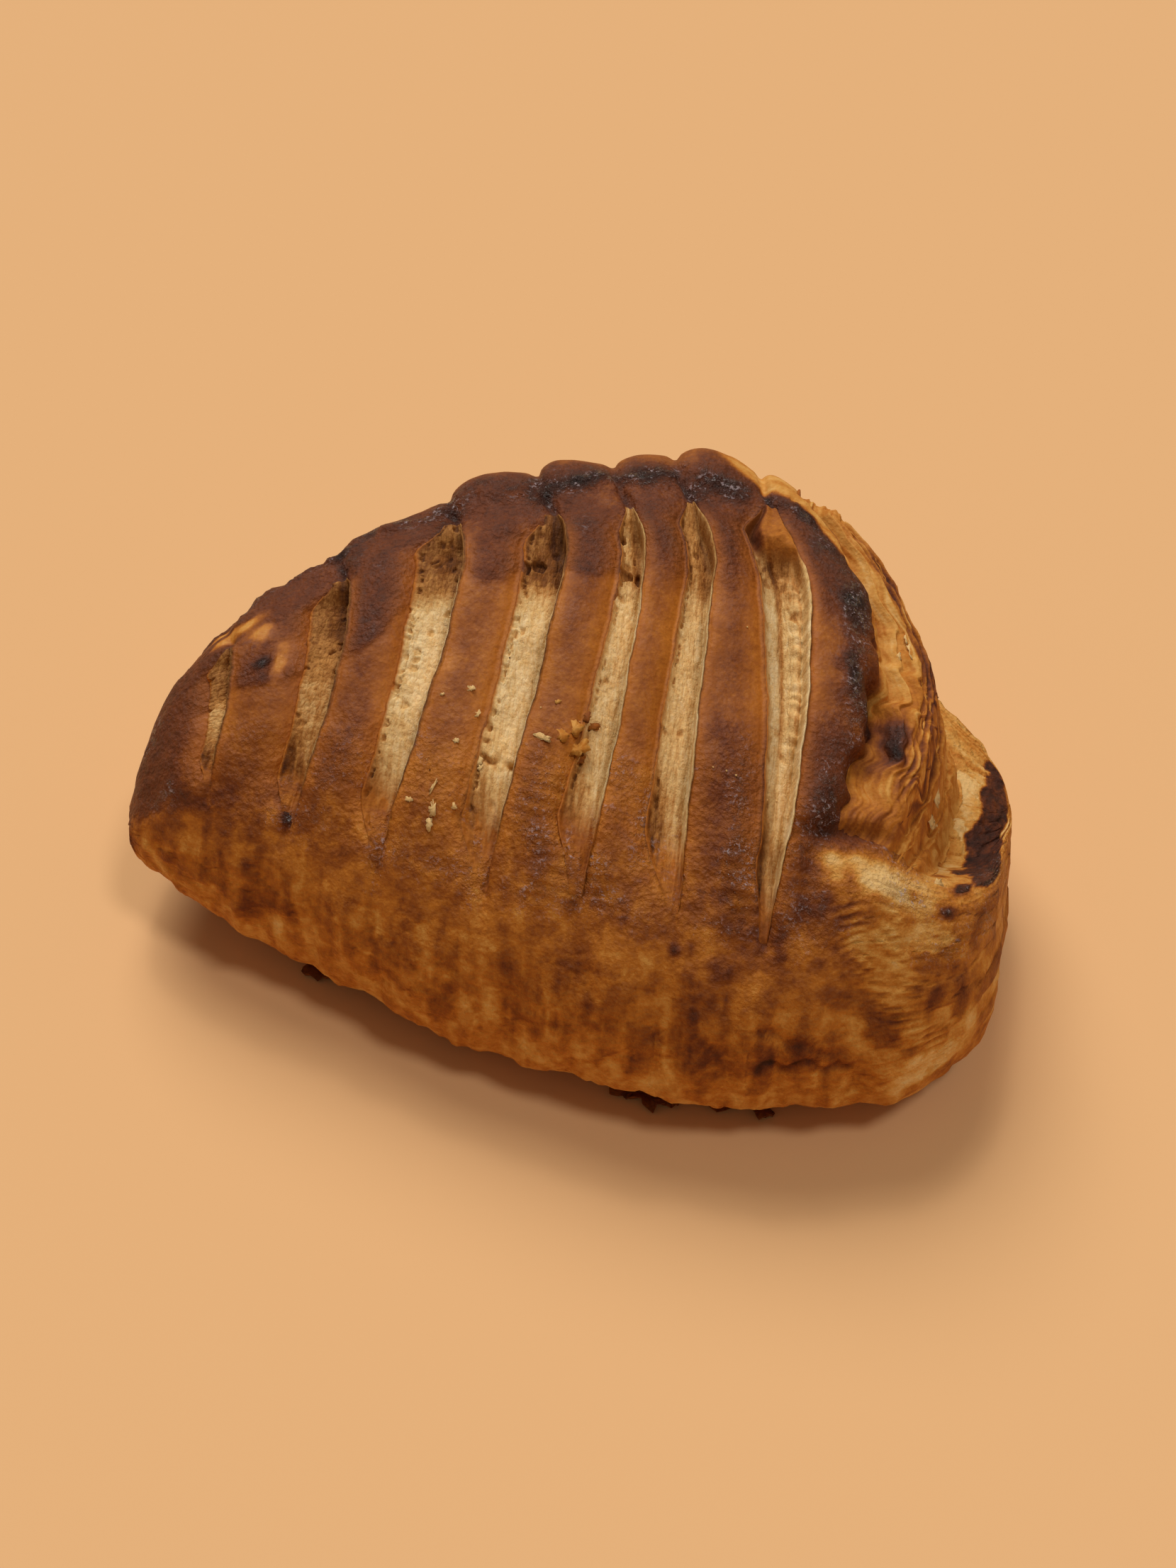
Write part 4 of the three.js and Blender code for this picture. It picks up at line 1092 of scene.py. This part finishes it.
class Scraps:
    """Small closed solids gathered into one mesh, each with its own browning."""

    def __init__(self, seed):
        self.rng = np.random.default_rng(seed)
        self.points, self.faces, self.toast, self.dough = [], [], [], []
        self.count = 0

    def add(self, points, faces, toast, raw=0.0):
        points = np.asarray(points, float)
        self.points.append(points)
        self.faces += [[self.count + k for k in face] for face in faces]
        self.toast.append(np.broadcast_to(toast, len(points)))
        self.dough.append(np.broadcast_to(raw, len(points)))
        self.count += len(points)

    def flake(self, centre, normal, lengthways, length, width, toast, raw=0.0, thick=0.12, curl=0.22):
        """A flat ragged flake that lies on a surface, its rim curled up."""
        n = FLAKE_POINTS
        side = np.cross(normal, lengthways)
        angle = np.arange(n) * 2 * math.pi / n
        radius = 1 + self.rng.uniform(-0.2, 0.12, n) + 0.22 * np.sin(2 * angle + self.rng.uniform(0, 6))
        radius += 0.16 * np.sin(5 * angle + self.rng.uniform(0, 6))
        rim = (np.outer(np.cos(angle) * radius * length / 2, lengthways)
               + np.outer(np.sin(angle) * radius * width / 2, side))
        lift = curl * self.rng.uniform(0, 1, n)
        top = centre + rim + np.outer(lift + thick, normal)
        bottom = centre + 0.93 * rim + np.outer(lift, normal)
        points = [centre + normal * thick, centre, *top, *bottom]
        faces = []
        for k in range(n):
            a, b = 2 + k, 2 + (k + 1) % n
            faces += [[0, a, b], [1, b + n, a + n], [a, a + n, b + n, b]]
        self.add(points, faces, np.clip(toast + self.rng.uniform(-0.06, 0.1, len(points)), 0, 1), raw)

    def strip(self, root, outwards, width, thick, toast_root, toast_tip):
        """A thin leaf along a path: root points, the direction it sticks out in, and its widths."""
        n, m = len(root), STRIP_STEPS
        normal = unit(np.cross(unit(np.gradient(root, axis=0)), outwards))
        normal *= np.sign(normal[:, 2:3] + TINY)
        layers = []
        for side in (1, -1):
            for k in range(m):
                f = k / (m - 1)
                raised = side * thick * (1 - 0.5 * f) / 2 - 0.25 * width * f**2
                layers.append(root + outwards * (width * f)[:, None] + normal * raised[:, None])
        order = [*range(m), *reversed(range(m, 2 * m))]
        points = np.concatenate([layers[k] for k in order])
        levels = np.concatenate([np.full(n, mix(toast_root, toast_tip, (k % m) / (m - 1))) for k in order])
        faces = []
        for a in range(2 * m):
            b = (a + 1) % (2 * m)
            faces += [[a * n + k, a * n + k + 1, b * n + k + 1, b * n + k] for k in range(n - 1)]
        faces.append([a * n for a in range(2 * m)][::-1])
        faces.append([a * n + n - 1 for a in range(2 * m)])
        self.add(points, faces, levels)

    def crumb(self, centre, size, toast, raw):
        """A rough little lump."""
        n = CRUMB_SIDES
        angle = np.arange(n) * 2 * math.pi / n
        points = [[0, 0, -0.5], [0, 0, 0.5]]
        for height, radius in ((-0.2, 0.5), (0.25, 0.42)):
            points += [[radius * math.cos(a + height), radius * math.sin(a + height), height] for a in angle]
        points = np.array(points) * size * self.rng.uniform(0.7, 1.3, (len(points), 3))
        faces = []
        for k in range(n):
            a, b = 2 + k, 2 + (k + 1) % n
            faces += [[0, b, a], [a, b, b + n, a + n], [1, a + n, b + n]]
        self.add(points + centre, faces, toast, raw)

    def finish(self, name, material):
        piece = make_mesh(name, np.concatenate(self.points), self.faces, material)
        dough = np.concatenate(self.dough)
        add_attribute(piece.data, "toast", np.concatenate(self.toast))
        add_attribute(piece.data, "cut", dough)
        add_attribute(piece.data, "dough", 0.25 * dough)
        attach(piece, "root")
        return piece


# Leaves along the upper sheet's edge at the right end: distance past the edge, first and last share.
EDGE_LEAVES = (
    (-2.6, 0.42, 0.70), (-1.2, 0.30, 0.66), (0.2, 0.26, 0.52), (0.2, 0.54, 0.74), (1.8, 0.22, 0.47),
    (3.0, 0.20, 0.42), (-0.6, 0.62, 0.80),
)


# Split leaves round the pressed far edge: place round the section, first and last place along the parcel.
RIM_LEAVES = (
    (2.72, 9.6, 13.1), (2.9, 8.6, 11.4), (3.04, 10.2, 14.2), (3.2, 8.8, 12.6), (2.8, 13.4, 15.3),
)
EDGE_LEAF_STEPS, RIM_LEAF_STEPS = 70, 160
THIN_LEAF = 0.35  # thickness of these leaves at their roots


def tapered(width, n, end):
    """Widths along a leaf, narrowing towards its two ends."""
    return width * np.sin(np.linspace(end, math.pi - end, n)) ** 0.5


def make_edge_leaves(material):
    scraps = Scraps(61)
    for k, (past, first, last) in enumerate(EDGE_LEAVES):
        share = np.linspace(first, last, EDGE_LEAF_STEPS)
        x = sheet_edge(share) + past + 0.25 * np.sin(share * 60 + k)
        points, normals, onward = on_skin(x, share)
        outwards = np.cross(onward, normals)
        outwards *= np.sign(outwards[:, :1] + TINY)
        outwards = unit(outwards + 0.35 * normals)
        path = sheet(share * 100, 0 * share + 7 * k)
        width = 0.9 + 0.8 * field(path, 3.0, 62) + 0.5 * field(path, 1.2, 63)
        width = tapered(0.6 * np.clip(width, 0.15, 2.2), EDGE_LEAF_STEPS, 0.15)
        dark = ramp(0.3, 0.42, (first + last) / 2)
        scraps.strip(points - normals * 0.25, outwards, width, THIN_LEAF, 0.3, mix(0.2, 0.72, dark))
    return scraps.finish("edge_leaves", material)


def make_rim_leaves(material):
    scraps = Scraps(71)
    for k, (turn_at, first, last) in enumerate(RIM_LEAVES):
        places = 2 * LAST - np.linspace(first, last, RIM_LEAF_STEPS)
        turn = turn_at + 0.03 * np.sin(places * 9 + k)
        points, _masks = skin_points(places, turn, run_of(turn))
        normals = outward(places, turn)
        outwards = unit(normals * np.array([1, 1, 0.35]))
        path = sheet(places * 26, 0 * places + 9 * k)
        width = np.clip(0.75 + 0.6 * field(path, 4.0, 72) + 0.4 * field(path, 1.3, 73), 0.12, 1.5)
        width = tapered(width, RIM_LEAF_STEPS, 0.1)
        scraps.strip(points - normals * 0.3, outwards, width, THIN_LEAF, 0.3, 0.42)
    return scraps.finish("rim_leaves", material)


# Flakes on the crust: x, share, length along the band, width, browning, whether it shows raw dough.
FLAKES = (
    (-15.3, 0.170, 2.8, 1.1, 0.12, 1), (-15.5, 0.150, 1.8, 1.3, 0.12, 1), (-15.7, 0.198, 3.2, 0.4, 0.12, 1),
    (-12.7, 0.354, 1.1, 1.2, 0.10, 1), (-11.3, 0.317, 1.2, 0.9, 0.12, 1), (-13.6, 0.270, 1.0, 0.8, 0.14, 1),
    (-16.6, 0.338, 0.4, 0.8, 0.10, 1), (-12.6, 0.180, 0.9, 1.3, 0.16, 1), (-18.7, 0.175, 1.0, 1.1, 0.20, 1),
    (0.5, 0.341, 0.8, 0.8, 0.2, 0), (-0.8, 0.286, 1.3, 2.4, 0.14, 1), (1.7, 0.294, 2.2, 2.0, 0.3, 0),
    (3.2, 0.308, 3.2, 2.4, 0.30, 0), (4.3, 0.283, 2.9, 3.0, 0.26, 0), (4.3, 0.272, 1.3, 2.6, 0.46, 0),
    (5.4, 0.320, 1.5, 2.6, 0.44, 0), (4.9, 0.328, 1.6, 1.4, 0.56, 0),
    (-10.2, 0.249, 1.3, 1.4, 0.05, 1), (-9.9, 0.240, 0.9, 0.8, 0.10, 1), (54.8, 0.405, 4.2, 1.5, 0.05, 1),
    (54.3, 0.372, 3.2, 1.7, 0.05, 1), (55.4, 0.385, 2.2, 1.0, 0.10, 1), (52.3, 0.62, 3.4, 1.5, 0.05, 1),
    (51.7, 0.648, 2.6, 1.2, 0.05, 1), (50.9, 0.60, 2.0, 0.9, 0.15, 1), (55.0, 0.22, 1.8, 1.3, 0.1, 1),
)
CRUMB_COUNT = 18


def make_flakes(material):
    scraps = Scraps(81)
    for x, share, length, width, brown, raw in FLAKES:
        point, normal, onward = on_skin([x], [share])
        tilt = scraps.rng.uniform(-0.5, 0.5)
        lengthways = onward[0] * math.cos(tilt) + np.cross(normal[0], onward[0]) * math.sin(tilt)
        scraps.flake(point[0] - normal[0] * 0.06, normal[0], lengthways, length, width, brown, raw)
    return scraps.finish("loose_flakes", material)


def make_crumbs(material):
    scraps = Scraps(91)
    x = scraps.rng.uniform(-40, 40, CRUMB_COUNT)
    share = scraps.rng.uniform(0.12, 0.5, CRUMB_COUNT)
    points, normals, _onward = on_skin(x, share)
    for point, normal in zip(points, normals):
        size = scraps.rng.uniform(0.2, 0.4)
        dark = scraps.rng.uniform() < 0.35
        scraps.crumb(point + normal * size * 0.15, size, 0.8 if dark else 0.15, 0 if dark else 1)
    return scraps.finish("crumbs", material)


# Broken leaves of the bottom crust that stick out on the table under the near side: place along the
# parcel, distance in from the near rim, length and width.
UNDER_FLAKES = (
    (4.80, 7.6, 5.0, 4.6), (4.93, 7.0, 6.5, 5.2), (5.08, 7.6, 5.0, 4.0), (5.35, 8.6, 9.0, 4.0),
    (5.70, 7.4, 4.0, 3.2), (2.80, 7.0, 5.0, 3.6),
)


def make_under_flakes(material):
    scraps = Scraps(101)
    up = np.array([0.0, 0.0, 1.0])
    for place_along, inwards, length, width in UNDER_FLAKES:
        t = np.array([place_along])
        near, ahead = loop_curve(OUTLINE, t)[0], loop_curve(OUTLINE, t + 0.01)[0]
        lengthways = unit(np.array([*(ahead - near), 0.0]))
        centre = np.array([*near, 0.15]) + np.cross(up, lengthways) * inwards
        scraps.flake(centre, up, lengthways, length, width, 0.58, 0, 0.5, 1.2)
    return scraps.finish("under_flakes", material)


# ---- Materials ----


def srgb(r, g, b):
    """Linear colour from 0-255 display values."""
    def linear(v):
        v /= 255
        return v / 12.92 if v <= 0.04045 else ((v + 0.055) / 1.055) ** 2.4
    return (linear(r), linear(g), linear(b), 1.0)


class Nodes:
    """Short calls for building a material's nodes."""

    def __init__(self, name):
        self.material = bpy.data.materials.new(name)
        self.material.use_nodes = True
        self.tree = self.material.node_tree
        self.shader = next(n for n in self.tree.nodes if n.type == "BSDF_PRINCIPLED")

    def fill(self, node, inputs):
        """Sets a node's inputs, by name or number, to plain values or to other nodes' outputs."""
        for key, source in inputs.items():
            if hasattr(source, "is_output"):
                self.tree.links.new(source, node.inputs[key])
            else:
                node.inputs[key].default_value = source

    def add(self, kind, output, inputs=None, **settings):
        node = self.tree.nodes.new("ShaderNode" + kind)
        for key, value in settings.items():
            setattr(node, key, value)
        self.fill(node, inputs or {})
        return node.outputs[output]

    def math(self, operation, a, b, clamp=False):
        return self.add("Math", 0, {0: a, 1: b}, operation=operation, use_clamp=clamp)

    def plus(self, a, b, clamp=False):
        return self.math("ADD", a, b, clamp)

    def times(self, a, b):
        return self.math("MULTIPLY", a, b)

    def mix_colour(self, share, a, b, blend="MIX"):
        inputs = {"Factor": share, 6: a, 7: b}
        return self.add("Mix", 2, inputs, data_type="RGBA", blend_type=blend)

    def mix_value(self, share, a, b):
        return self.add("Mix", 0, {"Factor": share, 2: a, 3: b}, data_type="FLOAT")

    def range(self, value, low, high, to_low=0.0, to_high=1.0):
        return self.add("MapRange", 0, dict(enumerate((value, low, high, to_low, to_high))))

    def spread(self, noise, low, high):
        """A noise's usual values, spread from low to high."""
        return self.range(noise, 0.3, 0.7, low, high)

    def noise(self, vector, scale, detail, roughness, distortion=0.0):
        inputs = dict(Vector=vector, Scale=scale, Detail=detail, Roughness=roughness, Distortion=distortion)
        return self.add("TexNoise", "Fac", inputs)

    def cells(self, vector, scale):
        return self.add("TexVoronoi", "Distance", dict(Vector=vector, Scale=scale))

    def bump(self, height, distance):
        return self.add("Bump", 0, dict(Height=height, Distance=distance, Strength=1.0))

    def ramp(self, value, stops):
        fac = self.add("ValToRGB", 0, {0: value})
        elements = fac.node.color_ramp.elements
        while len(elements) < len(stops):
            elements.new(0.5)
        for element, (position, colour) in zip(elements, stops):
            element.position = position
            element.color = colour
        return fac


def stops(*rows):
    return [(place, srgb(*colour)) for place, *colour in rows]


CRUST_STOPS = stops(
    (0.00, 232, 190, 122), (0.18, 216, 156, 74), (0.34, 190, 117, 36), (0.50, 150, 83, 24),
    (0.64, 112, 55, 21), (0.80, 74, 36, 20), (1.00, 38, 22, 17),
)
DOUGH_STOPS = stops(
    (0.00, 250, 220, 166), (0.25, 232, 190, 124), (0.50, 192, 134, 68), (0.75, 132, 78, 26),
    (1.00, 84, 44, 14),
)
AMBER = srgb(188, 108, 32)
# A cool tint for the painted shade on the crumb's walls.
COOL_SHADE_TINT = srgb(196, 200, 206)
PAINTED_SPARKLE = srgb(196, 176, 178)  # painted highlight: light caught in specks of glaze, painted into the colour


def crust_material():
    m = Nodes("baked_crust")
    here = m.add("TexCoord", "Object")
    cut, pits, layered, leaf, raw, brown, gloss, cool_shade, amber, glint, rough, x, run = (
        m.add("Attribute", "Fac", attribute_name=name) for name in SHADE_NAMES)
    coarse, fine, grain = m.noise(here, 130, 5, 0.6), m.noise(here, 900, 3, 0.6), m.noise(here, 2200, 2, 0.6)
    specks = m.noise(here, 1500, 3, 0.7)
    fibre = m.noise(m.add("CombineXYZ", 0, {0: x, 1: m.times(run, 0.22)}), 1.8, 4, 0.6, 0.4)

    level = m.plus(brown, m.spread(coarse, -0.04, 0.04))
    level = m.plus(level, m.spread(fine, -0.05, 0.05))
    level = m.plus(level, m.spread(grain, -0.03, 0.03), clamp=True)
    level = m.math("SUBTRACT", level, m.times(m.times(leaf, layered), 0.16), clamp=True)
    crust = m.mix_colour(m.times(amber, 0.42), m.ramp(level, CRUST_STOPS), AMBER)

    level = m.plus(m.range(fibre, 0.35, 0.7, -0.06, 0.16), raw)
    level = m.plus(level, m.spread(fine, -0.06, 0.06))
    # Pits, hollows and cracks of the crumb are darker: painted shade.
    level = m.plus(level, m.times(pits, 0.42), clamp=True)
    # The cool tint multiplies in a painted cool shade on the crumb's walls.
    crumb = m.mix_colour(m.times(cool_shade, 0.6), m.ramp(level, DOUGH_STOPS), COOL_SHADE_TINT, blend="MULTIPLY")
    cut_edge = m.plus(cut, m.spread(fine, -0.10, 0.10))
    colour = m.mix_colour(m.range(cut_edge, 0.25, 0.75), crust, crumb)

    # The glaze shines in patches: where the crust has a glint, and where it is charred. There the coat is
    # glossy, and specks of painted highlight are mixed into the base colour.
    charred = m.times(m.range(brown, 0.70, 0.86), gloss)
    shine = m.plus(glint, m.times(charred, 0.7), clamp=True)
    clusters = m.times(m.range(m.noise(here, 330, 3, 0.6), 0.46, 0.56), shine)
    painted_sparkle = m.times(m.range(specks, 0.55, 0.64), clusters)
    facets = m.plus(specks, m.times(m.cells(here, 2400), 0.5))
    patchy = m.spread(m.noise(here, 260, 4, 0.6), -0.08, 0.12)

    skin_height = m.plus(m.noise(here, 700, 4, 0.7), m.times(m.cells(here, 1300), 0.35))
    skin_height = m.times(skin_height, m.mix_value(rough, 0.35, 1.0))
    skin_height = m.plus(skin_height, m.times(specks, m.mix_value(shine, 0.0, 1.6)))
    crumb_height = m.plus(m.times(fibre, 0.8), m.times(m.noise(here, 1600, 3, 0.6), 0.4))
    m.fill(m.shader, {
        "Base Color": m.mix_colour(m.times(painted_sparkle, 0.7), colour, PAINTED_SPARKLE),
        "Roughness": m.plus(m.mix_value(gloss, 0.72, 0.56), patchy),
        "Coat Weight": m.times(shine, m.range(fine, 0.50, 0.58)),
        "Coat Roughness": 0.10,
        "Coat Normal": m.bump(facets, 0.0009),
        "Normal": m.bump(m.mix_value(cut, skin_height, crumb_height), 0.0006),
        "Subsurface Weight": 0.05,
        "Subsurface Radius": (1.0, 0.45, 0.2),
        "Subsurface Scale": 0.002,
        "Specular IOR Level": 0.22,
    })
    return m.material


def floor_material():
    m = Nodes("pale_floor")
    m.fill(m.shader, {"Base Color": srgb(236, 187, 133), "Roughness": 0.9, "Specular IOR Level": 0.1})
    return m.material


# ---- Stage, light and camera ----

CAMERA_TURN = FOLD_TURN  # the camera looks along the cuts
CAMERA_ELEVATION = math.radians(45)
CAMERA_DISTANCE = 0.345
CAMERA_LENS = 50
CAMERA_SHIFT = 27.5 / 2212  # the photograph has the parcel left of its middle
AIM_HEIGHT = 25
NEAREST, FARTHEST = 0.01, 20  # what the camera sees, in metres
FLOOR_REACH = 3.0
# The lights: name, where each stands as seen from the camera, strength, spread in degrees, colour.
SUNS = (
    ("key", (-0.22, 0.62, 0.85), 1.85, 38, (1.0, 0.98, 0.95)),
    ("lamp", (-0.10, 0.50, 0.88), 0.25, 7, (1.0, 0.97, 0.97)),
    ("window", (0.30, -0.25, 0.92), 0.70, 11, (0.96, 0.95, 0.97)),
)
WORLD_COLOUR, WORLD_STRENGTH = (1.0, 0.80, 0.60, 1), 0.2


def direction(right, away, up):
    """A direction given as seen from the camera's side of the parcel."""
    cos, sin = math.cos(CAMERA_TURN), math.sin(CAMERA_TURN)
    return np.array([right * cos - away * sin, right * sin + away * cos, up])


def aim(thing, position, target):
    thing.location = position
    thing.rotation_mode = "QUATERNION"
    thing.rotation_quaternion = Vector(np.array(position) - np.array(target)).to_track_quat("Z", "Y")


def make_camera(target):
    data = bpy.data.cameras.new("camera")
    data.lens = CAMERA_LENS
    data.shift_x = CAMERA_SHIFT
    data.clip_start, data.clip_end = NEAREST, FARTHEST
    camera = put("camera", data)
    back = direction(0, -math.cos(CAMERA_ELEVATION), math.sin(CAMERA_ELEVATION))
    aim(camera, target + back * CAMERA_DISTANCE, target)
    bpy.context.scene.camera = camera


def make_sun(name, towards, strength, spread, colour):
    """A distant soft light. towards is where it stands, as seen from the camera."""
    data = bpy.data.lights.new(name, "SUN")
    data.energy = strength
    data.angle = math.radians(spread)
    data.color = colour
    aim(put(name, data), direction(*towards), np.zeros(3))


def make_stage():
    mesh = bpy.data.meshes.new("floor")
    corners = [(x * FLOOR_REACH, y * FLOOR_REACH, 0) for x, y in ((-1, -1), (1, -1), (1, 1), (-1, 1))]
    mesh.from_pydata(corners, [], [(0, 1, 2, 3)])
    mesh.materials.append(floor_material())
    floor = put("floor", mesh)
    for sun in SUNS:
        make_sun(*sun)
    world = bpy.data.worlds.new("studio")
    world.use_nodes = True
    background = world.node_tree.nodes["Background"]
    background.inputs["Color"].default_value = WORLD_COLOUR
    background.inputs["Strength"].default_value = WORLD_STRENGTH
    bpy.context.scene.world = world
    bpy.context.scene.view_settings.view_transform = "Standard"


crust = crust_material()
skin = make_skin(crust)
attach(skin, "root")
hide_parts(NODE)
for i in range(len(CUTS)):
    make_crumb(i, crust)
make_torn_end(crust)
make_edge_leaves(crust)
make_rim_leaves(crust)
make_flakes(crust)
make_crumbs(crust)
make_under_flakes(crust)

aim_point = (TURN @ np.array([0.0, 0.0, AIM_HEIGHT]) + SHIFT) * METRES
make_camera(aim_point)
make_stage()
